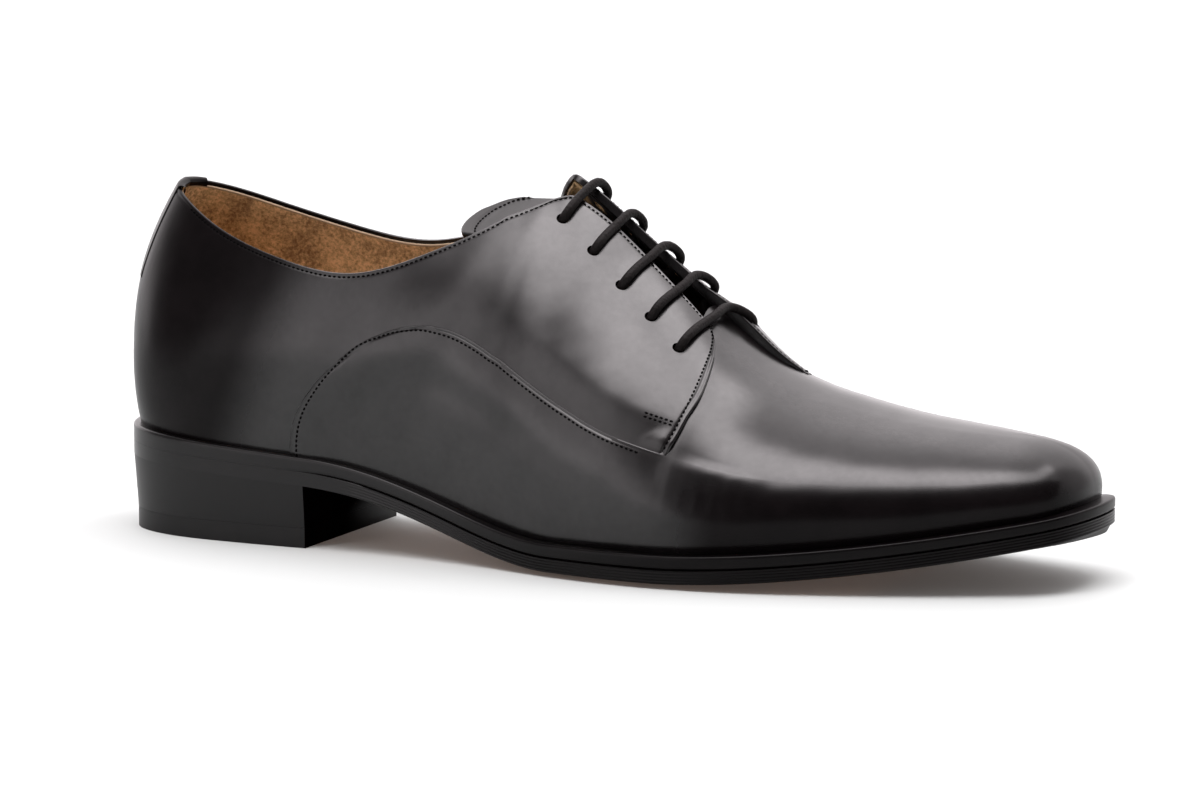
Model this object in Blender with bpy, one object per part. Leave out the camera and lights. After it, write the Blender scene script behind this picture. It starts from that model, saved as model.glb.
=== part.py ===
"""Open-laced leather dress shoe for the right foot: sole, heel, welt, upper, tongue, insole and lace.

The shoe is drawn in millimetres with x from the heel's back to the toe, the lateral side at -y and the
floor at z = 0. At the end every mesh is moved so that the box of the shoe is centred over the origin.
"""
import bpy
import numpy as np

MM = 0.001
LATERAL = -1
MEDIAL = 1
SIDES = (LATERAL, MEDIAL)
GAP = 0.3

# Lengths along the shoe
LENGTH = 306.0
BREAST_X = 70.0
BALL_BACK_X = 155.0
BALL_FRONT_X = 188.0

# How far the crest of the instep and vamp lies to the medial side
CREST_Y = 4.0

# Heights of the sole's underside
SEAT_BACK_Z = 22.5
SEAT_BREAST_Z = 18.8
TOE_SPRING = 15.2
SPRING_POWER = 1.65
CAMBER = 1.3
CAMBER_RUN = 50.0

# Thicknesses
OUTSOLE = 4.2
TOP_PIECE = 6.0
WALL = 2.0
TONGUE = 2.2
FACING_STEP = 1.4
WING_STEP = 1.0
BACK_STRIP_STEP = 0.8

# Insets and bevels of the edges
SOLE_CHAMFER = 0.9
EDGE_GROOVE = 0.45
HEEL_INSET = 0.5
HEEL_TAPER = 0.7
INNER_CLEARANCE = 1.0
INSOLE_RISE = 1.5
WELT_UNDERLAP = 0.4
TOP_PIECE_CHAMFER = 0.5

# Lace and eyelets
LACE_RADIUS = 1.4
EYELET_RADIUS = 2.5
EYELET_SIDES = 12
EYELET_CUT = 6.0
LACE_STEP = 4.4
MOUTH_LIFT = 1.5
MOUTH_TURN = 0.9
LINK_MOUTH = 2.0
LINK_TURN = 1.1
LINK_DEPTH = 2.3
# A bar of lace between its two eyelets
# Columns: share of the way from the lateral eyelet to the medial one, height over the facings
BAR = ((0.18, 1.9), (0.36, 1.95), (0.58, 2.1), (0.8, 2.5))

# The welt's outline: half widths to each side of the line from heel to toe
# Columns: x, lateral half width, medial half width
OUTLINE = (
    (5.0, 18.5, 18.5),
    (19.0, 28.5, 28.0),
    (42.0, 33.0, 32.0),
    (70.0, 34.3, 30.5),
    (97.0, 35.5, 26.5),
    (125.0, 40.0, 26.0),
    (155.0, 48.0, 31.5),
    (184.0, 52.3, 41.5),
    (212.0, 50.5, 48.5),
    (240.0, 43.8, 46.3),
    (266.0, 35.0, 39.5),
    (286.0, 26.5, 32.5),
    (298.5, 19.0, 26.0),
    (303.5, 10.5, 19.0),
)
HEEL_BACK = (0.0, 0.0)
TOE_TIP = (LENGTH, 5.0)

# Height of the blacked edge, welt and outsole together
# Columns: x, height
EDGE_HEIGHT = ((0.0, 9.5), (70.0, 8.4), (215.0, 8.2), (306.0, 7.6))

# How far the welt stands out past the upper, by the share of the way from heel to toe
# Columns: share, margin
MARGIN = ((0.0, 2.2), (0.25, 2.4), (0.45, 3.2), (0.7, 3.8), (0.9, 3.8), (1.0, 4.2))

# The welt's edge from its top to its bottom
# Columns: inset, drop, share of the welt's height that the drop starts from
WELT_EDGE = (
    (0.55, 0.0, 1.0),
    (0.0, 0.5, 1.0),
    (0.0, 0.0, 0.56),
    (EDGE_GROOVE, 0.0, 0.45),
    (0.0, 0.0, 0.34),
    (EDGE_GROOVE, 0.0, 0.0),
)

# The topline from the heel's back to the top of the facings
# Columns: x, lateral half width, lateral z, medial half width, medial z
TOPLINE = (
    (13.0, 0.0, 104.6, 0.0, 104.6),
    (14.3, 6.2, 103.6, 6.2, 104.1),
    (20.0, 12.6, 100.6, 12.8, 102.3),
    (35.0, 20.8, 93.3, 21.8, 96.7),
    (58.0, 27.0, 85.9, 27.3, 89.8),
    (84.0, 28.3, 82.4, 27.6, 86.5),
    (108.0, 24.4, 89.6, 23.5, 91.0),
    (128.0, 15.0, 99.7, 13.5, 102.0),
    (139.2, -CREST_Y, 112.1, CREST_Y, 112.1),
)

# The crest of the instep and vamp, on the medial side of the middle, from the facings' top to the toe
# Columns: x, z
CREST = (
    (139.2, 112.1),
    (152.3, 102.0),
    (165.3, 91.2),
    (177.5, 81.3),
    (188.8, 71.2),
    (200.0, 62.2),
    (212.2, 55.7),
    (229.4, 50.3),
    (250.6, 45.8),
    (267.8, 43.7),
    (279.0, 42.4),
)
THROAT_X = 189.8

# The feather line below the top of the facings and below their front edge
FACING_FOOT_X = 130.0
THROAT_FOOT_X = 190.0

# A section's shape by its place around the shoe: 0 heel, 1 top of facings, 2 front of facings, 3 toe
# Columns: place, lean at the foot, pull at the foot, rise at the top, pull at the top, forward sweep
SECTION = (
    (0.0, 13.0, 0.40, 58.0, 0.40, 0.0),
    (0.25, 13.0, 0.38, 68.0, 0.36, 0.0),
    (0.55, 12.0, 0.36, 66.0, 0.34, 0.0),
    (0.8, 10.0, 0.38, 46.0, 0.36, 0.0),
    (1.0, 12.0, 0.38, 30.0, 0.40, 2.0),
    (1.5, 16.0, 0.36, 24.0, 0.42, 5.0),
    (2.0, 22.0, 0.34, 14.0, 0.42, 9.0),
    (2.3, 26.0, 0.34, 4.0, 0.45, 4.0),
    (2.6, 26.0, 0.34, 0.0, 0.48, 0.0),
    (2.85, 18.0, 0.40, 0.0, 0.50, 0.0),
    (3.0, 6.0, 0.38, 0.0, 0.50, 0.0),
)
LOW_SWEEP = 0.4
TOE_SWING_FROM = 2.45
TOPLINE_TURN_FROM = 0.55

# The facings' edges, by their distance from the crest
# Columns: place, lateral, medial
OPENING = (
    (0.84, 19.0, 0.0),
    (0.905, 15.6, 0.2),
    (0.968, 12.8, 0.3),
    (1.03, 9.6, 0.4),
    (1.08, 7.0, 0.5),
    (1.14, 6.2, 0.5),
    (1.3, 5.7, 0.6),
    (1.44, 6.1, 0.8),
    (1.57, 7.2, 1.0),
    (1.66, 8.4, 1.2),
    (1.75, 9.7, 1.4),
    (1.84, 11.1, 1.6),
    (1.9, 12.3, 1.8),
    (1.96, 14.9, 2.1),
    (2.0, 18.6, 2.4),
)

# The side seam, where the vamp's wing laps the quarter: height as a share of the section
# Columns: place, share
SEAM = (
    (0.0, 0.44),
    (0.58, 0.442),
    (0.603, 0.554),
    (0.638, 0.616),
    (0.683, 0.634),
    (0.737, 0.620),
    (0.792, 0.582),
    (0.861, 0.527),
    (0.908, 0.490),
    (0.956, 0.456),
    (1.0, 0.432),
    (1.05, 0.422),
    (1.1, 0.416),
    (1.185, 0.409),
    (1.271, 0.402),
    (1.433, 0.388),
    (1.571, 0.372),
    (1.7, 0.363),
    (2.0, 0.361),
    (3.0, 0.36),
)
SEAM_START = 0.60
SEAM_TIP = 1.97
SEAM_START_RUN = 0.04
SEAM_TIP_RUN = 0.12
STEP_WIDTH = 0.004

# The facing thickens from the quarter over these runs of place and share
FACING_FROM = 0.7
FACING_RUN = 0.6
FACING_FOOT_RUN = 0.12

# Eyelets from the top row down, by place and by distance from the crest
# Columns: lateral place, lateral distance, medial place, medial distance
EYELETS = (
    (1.083, 15.2, 1.160, 6.4),
    (1.280, 17.7, 1.374, 6.8),
    (1.472, 20.7, 1.600, 7.2),
    (1.658, 23.7, 1.800, 7.8),
    (1.833, 27.2, 1.950, 8.4),
)

# The tongue: depth under the facings, and how its free top curls back past the facings
TONGUE_DEPTH = 4.3
TONGUE_FOOT_DEPTH = 0.4
TONGUE_HALF_WIDTH = 22.0
TONGUE_FOOT_PLACE = 2.10
TONGUE_FREE_PLACE = 1.12
TONGUE_RISE_FROM = 1.98
TONGUE_RISE = 0.11
# Columns: back, up
TONGUE_CURL = ((0.0, 0.0), (8.0, 1.3), (16.0, 1.3), (23.0, 0.3), (29.6, -2.0))
TONGUE_SWEEP = 0.12
TONGUE_CORNER = 0.14


# Curves through the rows of a table

def smooth(t):
    t = min(max(t, 0.0), 1.0)
    return t * t * (3.0 - 2.0 * t)


def hermite(t, start, end, start_slope, end_slope):
    s = 1.0 - t
    return (start * (1.0 + 2.0 * t) * s * s + start_slope * t * s * s
            + end * t * t * (3.0 - 2.0 * t) - end_slope * t * t * s)


def spline(rows, closed=False):
    """A cubic curve through rows of points, and the lengths at which it passes them."""
    points = np.array(rows, float)
    if closed:
        points = np.vstack([points, points[:1]])
    gaps = np.linalg.norm(np.diff(points, axis=0), axis=1)
    knots = np.concatenate([[0.0], np.cumsum(gaps)])
    count = len(points)
    left = np.zeros((count, count))
    right = np.zeros_like(points)
    rate = np.diff(points, axis=0) / gaps[:, None]
    for i in range(1, count - 1):
        left[i, i - 1] = 1.0 / gaps[i - 1]
        left[i, i] = 2.0 / gaps[i - 1] + 2.0 / gaps[i]
        left[i, i + 1] = 1.0 / gaps[i]
        right[i] = 3.0 * (rate[i - 1] / gaps[i - 1] + rate[i] / gaps[i])
    if closed:
        left[0, 0] = 1.0
        left[0, -1] = -1.0
        left[-1, 0] = 2.0 / gaps[0]
        left[-1, 1] = 1.0 / gaps[0]
        left[-1, -2] = 1.0 / gaps[-1]
        left[-1, -1] = 2.0 / gaps[-1]
        right[-1] = 3.0 * (rate[0] / gaps[0] + rate[-1] / gaps[-1])
    else:
        left[0, 0] = 2.0
        left[0, 1] = 1.0
        right[0] = 3.0 * rate[0]
        left[-1, -2] = 1.0
        left[-1, -1] = 2.0
        right[-1] = 3.0 * rate[-1]
    slopes = np.linalg.solve(left, right)

    def at(length):
        length = min(max(length, 0.0), knots[-1])
        i = min(int(np.searchsorted(knots, length, side="right")) - 1, count - 2)
        t = (length - knots[i]) / gaps[i]
        return hermite(t, points[i], points[i + 1], slopes[i] * gaps[i], slopes[i + 1] * gaps[i])

    return at, knots


def table(rows):
    """Values between the rows of a table, sorted by its first column, that never overshoot them."""
    rows = np.array(rows, float)
    places = rows[:, 0]
    values = rows[:, 1:]
    rate = np.diff(values, axis=0) / np.diff(places)[:, None]
    slopes = np.zeros_like(values)
    slopes[0] = rate[0]
    slopes[-1] = rate[-1]
    for i in range(1, len(places) - 1):
        for k in range(values.shape[1]):
            if rate[i - 1, k] * rate[i, k] > 0.0:
                slopes[i, k] = 2.0 / (1.0 / rate[i - 1, k] + 1.0 / rate[i, k])

    def at(place):
        place = min(max(place, places[0]), places[-1])
        i = min(int(np.searchsorted(places, place, side="right")) - 1, len(places) - 2)
        run = places[i + 1] - places[i]
        t = (place - places[i]) / run
        return hermite(t, values[i], values[i + 1], slopes[i] * run, slopes[i + 1] * run)

    return at


def solve_rising(function, target, low, high):
    """The argument at which a rising function reaches the target."""
    for _ in range(48):
        middle = (low + high) / 2.0
        if function(middle) < target:
            low = middle
        else:
            high = middle
    return low


def unit(vector):
    return vector / np.linalg.norm(vector)


# The sole's outline and heights

outline_rows = [HEEL_BACK]
outline_rows += [(x, -lateral) for x, lateral, medial in OUTLINE]
outline_rows += [TOE_TIP]
outline_rows += [(x, medial) for x, lateral, medial in reversed(OUTLINE)]
outline, outline_knots = spline(outline_rows, closed=True)
TOE_LENGTH = outline_knots[len(OUTLINE) + 1]
FULL_LENGTH = outline_knots[-1]
edge_height = table(EDGE_HEIGHT)
margin = table(MARGIN)


def edge_point(side, share):
    """A point of the welt's outline, by the share of the way from the heel's back to the toe."""
    if side == LATERAL:
        return outline(share * TOE_LENGTH)
    return outline(FULL_LENGTH - share * (FULL_LENGTH - TOE_LENGTH))


def edge_normal(side, share):
    """The outward direction of the outline, level with the floor."""
    step = 0.001
    if share < step:
        return np.array([-1.0, 0.0])
    if share > 1.0 - step:
        return np.array([1.0, 0.0])
    along = unit(edge_point(side, share + step) - edge_point(side, share - step))
    return np.array([-along[1], along[0]]) * side


def share_at(side, x):
    return solve_rising(lambda share: edge_point(side, share)[0], x, 0.0, 1.0)


def sole_flat(x):
    """Height of the underside along the middle of the sole: heel seat, arch, flat ball, toe spring."""
    seat_slope = (SEAT_BACK_Z - SEAT_BREAST_Z) / BREAST_X
    if x < BREAST_X:
        return SEAT_BREAST_Z + seat_slope * (BREAST_X - x)
    if x < BALL_BACK_X:
        arch = BALL_BACK_X - BREAST_X
        return hermite((BALL_BACK_X - x) / arch, 0.0, SEAT_BREAST_Z, 0.0, seat_slope * arch)
    if x < BALL_FRONT_X:
        return 0.0
    return TOE_SPRING * ((x - BALL_FRONT_X) / (LENGTH - BALL_FRONT_X)) ** SPRING_POWER


def sole_edge(x):
    """Height of the underside at its edge, which lifts a little in front of the heel."""
    return sole_flat(x) + CAMBER * smooth((x - BREAST_X) / CAMBER_RUN)


def outsole_top(x):
    return sole_edge(x) + OUTSOLE


def welt_top(x):
    return sole_edge(x) + edge_height(x)[0]


# The last: sections from the feather line to the topline or the crest

topline = {}
for side, columns in ((LATERAL, (1, 2)), (MEDIAL, (3, 4))):
    topline[side] = spline([(row[0], side * row[columns[0]], row[columns[1]]) for row in TOPLINE])
crest, crest_knots = spline([(x, CREST_Y, z) for x, z in CREST])
THROAT_LENGTH = solve_rising(lambda length: crest(length)[0], THROAT_X, 0.0, crest_knots[-1])
section_shape = table(SECTION)
seam_share = table(SEAM)
opening = table(OPENING)
facing_foot = {side: share_at(side, FACING_FOOT_X) for side in SIDES}
throat_foot = {side: share_at(side, THROAT_FOOT_X) for side in SIDES}


def foot_share(side, place):
    if place < 1.0:
        return facing_foot[side] * place
    if place < 2.0:
        return facing_foot[side] + (throat_foot[side] - facing_foot[side]) * (place - 1.0)
    return throat_foot[side] + (1.0 - throat_foot[side]) * (place - 2.0)


def crest_length(place):
    if place < 2.0:
        return THROAT_LENGTH * (place - 1.0)
    return THROAT_LENGTH + (crest_knots[-1] - THROAT_LENGTH) * (1.0 - (3.0 - place) ** 2)


def top_and_heading(side, place):
    """The upper end of a section, and the level direction in which the section arrives there."""
    across = np.array([0.0, -side, 0.0])
    step = 0.5
    if place < 1.0:
        curve, knots = topline[side]
        length = place * knots[-1]
        if place == 0.0:
            return curve(0.0), np.array([1.0, 0.0, 0.0])
        along = curve(length + step) - curve(length - step)
        inward = unit(np.array([along[1], -along[0], 0.0])) * side
        turn = smooth((place - TOPLINE_TURN_FROM) / (1.0 - TOPLINE_TURN_FROM))
        return curve(length), unit(inward * (1.0 - turn) + across * turn)
    if place < 2.0:
        return crest(crest_length(place)), across
    length = crest_length(place)
    back = unit(crest(length - step) - crest(length + step))
    swing = smooth((place - TOE_SWING_FROM) / (3.0 - TOE_SWING_FROM)) * np.pi / 2.0
    return crest(length), across * np.cos(swing) + back * np.sin(swing)


def section(side, place):
    """The four control points of one section of the last."""
    share = foot_share(side, place)
    edge = edge_point(side, share)
    normal = edge_normal(side, share)
    low = np.append(edge - normal * margin(share)[0], welt_top(edge[0]) + GAP)
    high, heading = top_and_heading(side, place)
    lean, pull_low, rise, pull_high, sweep = section_shape(place)
    lean = np.radians(lean)
    rise = np.radians(rise)
    chord = np.linalg.norm(high - low)
    up = np.array([0.0, 0.0, 1.0])
    start = up * np.cos(lean) + np.append(normal, 0.0) * np.sin(lean)
    end = heading * np.cos(rise) + up * np.sin(rise)
    forward = np.array([sweep, 0.0, 0.0])
    low_pull = low + start * chord * pull_low + forward * LOW_SWEEP
    high_pull = high - end * chord * pull_high + forward
    return low, low_pull, high_pull, high


def last_point(side, place, share):
    """A point of the last's surface: place around the shoe, share of the way up the section."""
    p0, p1, p2, p3 = section(side, place)
    rest = 1.0 - share
    ends = p0 * rest ** 3 + p3 * share ** 3
    return ends + 3.0 * (p1 * rest + p2 * share) * rest * share


def last_normal(side, place, share):
    """The outward direction of the last's surface, read just below the crest, where the sections meet."""
    step = 0.004
    share = min(share, 0.985)
    low_place = max(place - step, 0.0)
    high_place = min(place + step, 3.0)
    low_share = max(share - step, 0.0)
    high_share = min(share + step, 1.0)
    along = last_point(side, high_place, share) - last_point(side, low_place, share)
    upward = last_point(side, place, high_share) - last_point(side, place, low_share)
    return unit(np.cross(along, upward)) * -side


def shared_normal(side, place, share):
    """The outward direction, the same from both sides where the two halves of the last meet."""
    normal = last_normal(side, place, share)
    if place in (0.0, 3.0) or (share == 1.0 and place >= 2.0):
        normal = unit(normal + last_normal(-side, place, share))
    return normal


def share_at_offset(side, place, offset):
    """How far up a section comes within a distance of the crest, or 1 where it never does."""
    if side * (last_point(side, place, 1.0)[1] - CREST_Y) >= offset:
        return 1.0
    reach = offset + side * CREST_Y
    return solve_rising(lambda share: -side * last_point(side, place, share)[1], -reach, 0.2, 1.0)


def facing_edge(side, place):
    if place < OPENING[0][0]:
        return 1.0
    return share_at_offset(side, place, opening(place)[0 if side == LATERAL else 1])


# Meshes

def new_object(name, points, faces, colour, roughness):
    mesh = bpy.data.meshes.new(name)
    mesh.from_pydata([tuple(point * MM) for point in points], [], faces)
    mesh.shade_smooth()
    mesh.set_sharp_from_angle(angle=np.radians(35.0))
    item = bpy.data.objects.new(name, mesh)
    bpy.context.collection.objects.link(item)
    finish(item, colour, roughness)
    return item


def finish(item, colour, roughness):
    material = bpy.data.materials.new(item.name + "_finish")
    material.use_nodes = True
    shader = material.node_tree.nodes["Principled BSDF"]
    shader.inputs["Base Color"].default_value = (*colour, 1.0)
    shader.inputs["Roughness"].default_value = roughness
    shader.inputs["Metallic"].default_value = 0.0
    item.data.materials.append(material)


def slab(name, faces, layers, colour, roughness):
    """A closed solid from layers of points, outer one first, joined along the border of the faces."""
    count = len(layers[0])
    points = np.vstack(layers)
    sides = {}
    for face in faces:
        for start, end in zip(face, face[1:] + face[:1]):
            sides[(start, end)] = True
    last = (len(layers) - 1) * count
    solid = [tuple(face) for face in faces]
    solid += [tuple(last + corner for corner in reversed(face)) for face in faces]
    for start, end in sides:
        if (end, start) not in sides:
            for layer in range(len(layers) - 1):
                here = layer * count
                below = here + count
                solid.append((end + here, start + here, start + below, end + below))
    used = sorted({corner for face in solid for corner in face})
    order = {corner: i for i, corner in enumerate(used)}
    solid = [tuple(order[corner] for corner in face) for face in solid]
    return new_object(name, points[used], solid, colour, roughness)


def stations(count, last_share=1.0):
    """Shares of the way along the outline, closer together at the heel's back and at the toe."""
    steps = [i / count for i in range(count + 1)]
    return [last_share * (0.55 * t + 0.45 * smooth(t)) for t in steps]


def inset_edge(side, share, inset):
    return edge_point(side, share) - edge_normal(side, share) * inset


def plate_grid(shares, across, inset):
    """Rows of points across the sole's outline, with the faces between them seen from above."""
    points = []
    rows = []
    for row in shares:
        ends = [inset_edge(side, row[side], inset(row[side])) for side in SIDES]
        if np.linalg.norm(ends[1] - ends[0]) < 0.01:
            rows.append([len(points)])
            points.append((ends[0], 0.0))
            continue
        rows.append([len(points) + k for k in range(len(across))])
        points += [(ends[0] + (ends[1] - ends[0]) * t, abs(2.0 * t - 1.0)) for t in across]
    faces = []
    for here, ahead in zip(rows, rows[1:]):
        for k in range(len(across) - 1):
            corners = [here[min(k, len(here) - 1)], ahead[min(k, len(ahead) - 1)],
                       ahead[min(k + 1, len(ahead) - 1)], here[min(k + 1, len(here) - 1)]]
            faces.append([corner for i, corner in enumerate(corners) if corner not in corners[:i]])
    return points, faces


def lift(points, height):
    return np.array([(flat[0], flat[1], height(flat[0], reach)) for flat, reach in points])


def both(count):
    return [{LATERAL: share, MEDIAL: share} for share in stations(count)]


# Sole, welt, heel and insole

BLACK_EDGE = (0.012, 0.011, 0.012)


def make_outsole():
    across = (0.0, 0.1, 0.28, 0.72, 0.9, 1.0)
    rows = both(40)
    rim, faces = plate_grid(rows, across, lambda share: 0.0)
    top, _ = plate_grid(rows, across, lambda share: EDGE_GROOVE)
    bottom, _ = plate_grid(rows, across, lambda share: SOLE_CHAMFER)

    def underside(x, reach):
        return sole_flat(x) + (sole_edge(x) - sole_flat(x)) * smooth((reach - 0.5) / 0.5)

    layers = [
        lift(top, lambda x, reach: outsole_top(x)),
        lift(rim, lambda x, reach: outsole_top(x) - EDGE_GROOVE),
        lift(rim, lambda x, reach: sole_edge(x) + SOLE_CHAMFER),
        lift(bottom, underside),
    ]
    return slab("outsole", faces, layers, (0.21, 0.10, 0.05), 0.5)


def welt_inset(share):
    return margin(share)[0] + WALL + WELT_UNDERLAP


def make_welt():
    shares = [(LATERAL, share) for share in stations(34)]
    shares += [(MEDIAL, share) for share in reversed(stations(34)[1:-1])]
    count = len(shares)
    faces = [[i, (i + 1) % count, count + (i + 1) % count, count + i] for i in range(count)]

    def ring(outer_inset, drop, share_up):
        points = []
        for inner in (False, True):
            for side, share in shares:
                inset = welt_inset(share) if inner else outer_inset
                x = edge_point(side, share)[0]
                low = outsole_top(x) + GAP
                z = low + (welt_top(x) - low) * share_up - drop
                points.append(np.append(inset_edge(side, share, inset), z))
        return np.array(points)

    layers = [ring(*row) for row in WELT_EDGE]
    return slab("welt", faces, layers, BLACK_EDGE, 0.35)


def heel_rows():
    breast = {side: share_at(side, BREAST_X) for side in SIDES}
    return [{side: t * breast[side] for side in SIDES} for t in (i / 16 for i in range(17))]


def make_heel_block():
    across = (0.0, 0.3, 0.7, 1.0)
    top, faces = plate_grid(heel_rows(), across, lambda share: HEEL_INSET)
    bottom, _ = plate_grid(heel_rows(), across, lambda share: HEEL_INSET + HEEL_TAPER)
    layers = [
        lift(top, lambda x, reach: sole_flat(x) - GAP),
        lift(bottom, lambda x, reach: TOP_PIECE + GAP),
    ]
    return slab("heel_block", faces, layers, BLACK_EDGE, 0.4)


def make_heel_top_piece():
    across = (0.0, 0.3, 0.7, 1.0)
    outer, faces = plate_grid(heel_rows(), across, lambda share: HEEL_INSET + HEEL_TAPER)
    worn, _ = plate_grid(heel_rows(), across, lambda share: HEEL_INSET + HEEL_TAPER + TOP_PIECE_CHAMFER)
    layers = [
        lift(outer, lambda x, reach: TOP_PIECE),
        lift(outer, lambda x, reach: TOP_PIECE_CHAMFER),
        lift(worn, lambda x, reach: 0.0),
    ]
    return slab("heel_top_piece", faces, layers, (0.01, 0.01, 0.01), 0.7)


def make_insole():
    across = (0.0, 0.2, 0.5, 0.8, 1.0)
    rows = both(34)
    points, faces = plate_grid(rows, across, lambda share: welt_inset(share) + INNER_CLEARANCE)
    layers = [
        lift(points, lambda x, reach: welt_top(x) + INSOLE_RISE),
        lift(points, lambda x, reach: outsole_top(x) + GAP),
    ]
    return slab("insole", faces, layers, (0.42, 0.25, 0.10), 0.7)


# Upper

COLLAR_PLACES = [0.0, 0.04, 0.085, 0.1, 0.15, 0.21, 0.27, 0.33, 0.39, 0.45, 0.51, 0.56, 0.60, 0.63,
                 0.66, 0.70, 0.74, 0.78, 0.83, 0.88, 0.92, 0.96]
FACING_PLACES = [1.0, 1.04, 1.08, 1.13, 1.2, 1.28, 1.37, 1.46, 1.55, 1.64, 1.73, 1.82, 1.9, 1.955,
                 2.0 - STEP_WIDTH]
VAMP_PLACES = [2.0 + STEP_WIDTH, 2.06, 2.13, 2.2, 2.27, 2.34, 2.41, 2.48, 2.54, 2.6, 2.66, 2.715,
               2.77, 2.82, 2.865, 2.91, 2.955, 3.0]
LOW_ROWS = (0.0, 0.25, 0.5, 0.75)
HIGH_ROWS = (0.16, 0.36, 0.58, 0.8, 1.0)
BRIDGE_ROWS = (0.35, 0.68, 1.0)
STRIP_EDGE_PLACE = 0.09
STRIP_FOOT = 0.55


def rise_over(side, place, share):
    """How far the outer face stands off the last: vamp wing, facings and back strip."""
    seam = seam_share(place)[0]
    if share < seam:
        ends = smooth((place - SEAM_START) / SEAM_START_RUN) * smooth((SEAM_TIP - place) / SEAM_TIP_RUN)
        return WING_STEP * ends * smooth(share / seam)
    strip = BACK_STRIP_STEP if place < STRIP_EDGE_PLACE and share > STRIP_FOOT else 0.0
    if place > 2.0:
        return 0.0
    ramp = smooth((place - FACING_FROM) / FACING_RUN) * smooth((share - seam) / FACING_FOOT_RUN)
    return strip + FACING_STEP * ramp


def make_upper():
    corner = {side: facing_edge(side, 2.0 - STEP_WIDTH) for side in SIDES}
    places = COLLAR_PLACES + FACING_PLACES + VAMP_PLACES
    outer = []
    inner = []
    index = {}
    columns = {side: [] for side in SIDES}
    for side in SIDES:
        for place in places:
            seam = seam_share(place)[0]
            end = corner[side] if place > 2.0 else facing_edge(side, place)
            shares = [seam * row for row in LOW_ROWS] + [seam - STEP_WIDTH, seam + STEP_WIDTH]
            shares += [seam + (end - seam) * row for row in HIGH_ROWS]
            if place > 2.0:
                shares += [end + (1.0 - end) * row for row in BRIDGE_ROWS]
            column = []
            for k, share in enumerate(shares):
                seat = place in (0.0, 3.0) or (place > 2.0 and k == len(shares) - 1)
                key = (place, k) if seat else (side, place, k)
                if key not in index:
                    index[key] = len(outer)
                    point = last_point(side, place, share)
                    normal = shared_normal(side, place, share)
                    if k == 0:
                        normal = unit(normal * (1.0, 1.0, 0.0))
                    outer.append(point + normal * rise_over(side, place, share))
                    inner.append(point - normal * WALL)
                column.append(index[key])
            columns[side].append(column)
    faces = []
    for side in SIDES:
        for here, ahead in zip(columns[side], columns[side][1:]):
            for low in range(min(len(here), len(ahead)) - 1):
                face = [here[low], ahead[low], ahead[low + 1], here[low + 1]]
                face = [corner for i, corner in enumerate(face) if corner not in face[:i]]
                faces.append(face if side == LATERAL else face[::-1])
    return slab("upper", faces, [np.array(outer), np.array(inner)], (0.018, 0.017, 0.018), 0.3)


def eyelets(side):
    """The middle of each eyelet on the last, from the top one down, with its outward direction."""
    found = []
    for row in EYELETS:
        place, distance = row[:2] if side == LATERAL else row[2:]
        share = share_at_offset(side, place, distance)
        rise = rise_over(side, place, share)
        found.append((last_point(side, place, share), last_normal(side, place, share), rise))
    return found


def punch_eyelets(upper):
    """Ten round holes through the facings."""
    turns = [2.0 * np.pi * k / EYELET_SIDES for k in range(EYELET_SIDES)]
    points = []
    faces = []
    for side in SIDES:
        for middle, normal, rise in eyelets(side):
            across = unit(np.cross(normal, (1.0, 0.0, 0.0)))
            other = np.cross(normal, across)
            top = range(len(points), len(points) + EYELET_SIDES)
            low = range(len(points) + EYELET_SIDES, len(points) + 2 * EYELET_SIDES)
            for depth in (EYELET_CUT, -EYELET_CUT):
                for turn in turns:
                    spoke = across * np.cos(turn) + other * np.sin(turn)
                    points.append(middle + normal * depth + spoke * EYELET_RADIUS)
            faces += [list(top), list(reversed(low))]
            for k in range(EYELET_SIDES):
                faces.append([top[k], top[k - 1], low[k - 1], low[k]])
    cutter = new_object("eyelet_cutter", points, faces, (0.5, 0.5, 0.5), 0.5)
    cutter.hide_render = True
    cutter.display_type = "WIRE"
    hole = upper.modifiers.new("eyelets", "BOOLEAN")
    hole.object = cutter
    hole.operation = "DIFFERENCE"
    hole.solver = "EXACT"
    return cutter


# Tongue

def tongue_row(place, back, up):
    """One row across the tongue, hung under the facings, the free end swept back at its sides."""
    rise = smooth((place - TONGUE_RISE_FROM) / TONGUE_RISE)
    depth = WALL + TONGUE_DEPTH + (TONGUE_FOOT_DEPTH - TONGUE_DEPTH) * rise
    row = []
    for side, reaches in ((LATERAL, (1.0, 0.86, 0.66, 0.35)), (MEDIAL, (0.0, 0.35, 0.66, 0.86, 1.0))):
        for reach in reaches:
            share = share_at_offset(side, place, TONGUE_HALF_WIDTH * reach) if reach else 1.0
            normal = last_normal(side, place, share)
            if not reach:
                normal = unit(normal + last_normal(-side, place, share))
            swept = 1.0 + TONGUE_SWEEP * reach ** 2 - TONGUE_CORNER * reach ** 6
            shift = np.array([-back, 0.0, up]) * swept
            row.append((last_point(side, place, share) - normal * depth + shift, normal))
    return row


def make_tongue():
    hung = [TONGUE_FOOT_PLACE - (TONGUE_FOOT_PLACE - TONGUE_FREE_PLACE) * i / 12 for i in range(12)]
    rows = [tongue_row(place, 0.0, 0.0) for place in hung]
    rows += [tongue_row(TONGUE_FREE_PLACE, back, up) for back, up in TONGUE_CURL]
    width = len(rows[0])
    outer = np.array([point for row in rows for point, normal in row])
    inner = np.array([point - normal * TONGUE for row in rows for point, normal in row])
    faces = []
    for i in range(len(rows) - 1):
        for k in range(width - 1):
            start = i * width + k
            faces.append([start, start + 1, start + width + 1, start + width])
    return slab("tongue", faces, [outer, inner], (0.02, 0.019, 0.02), 0.4)


# Lace

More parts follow.
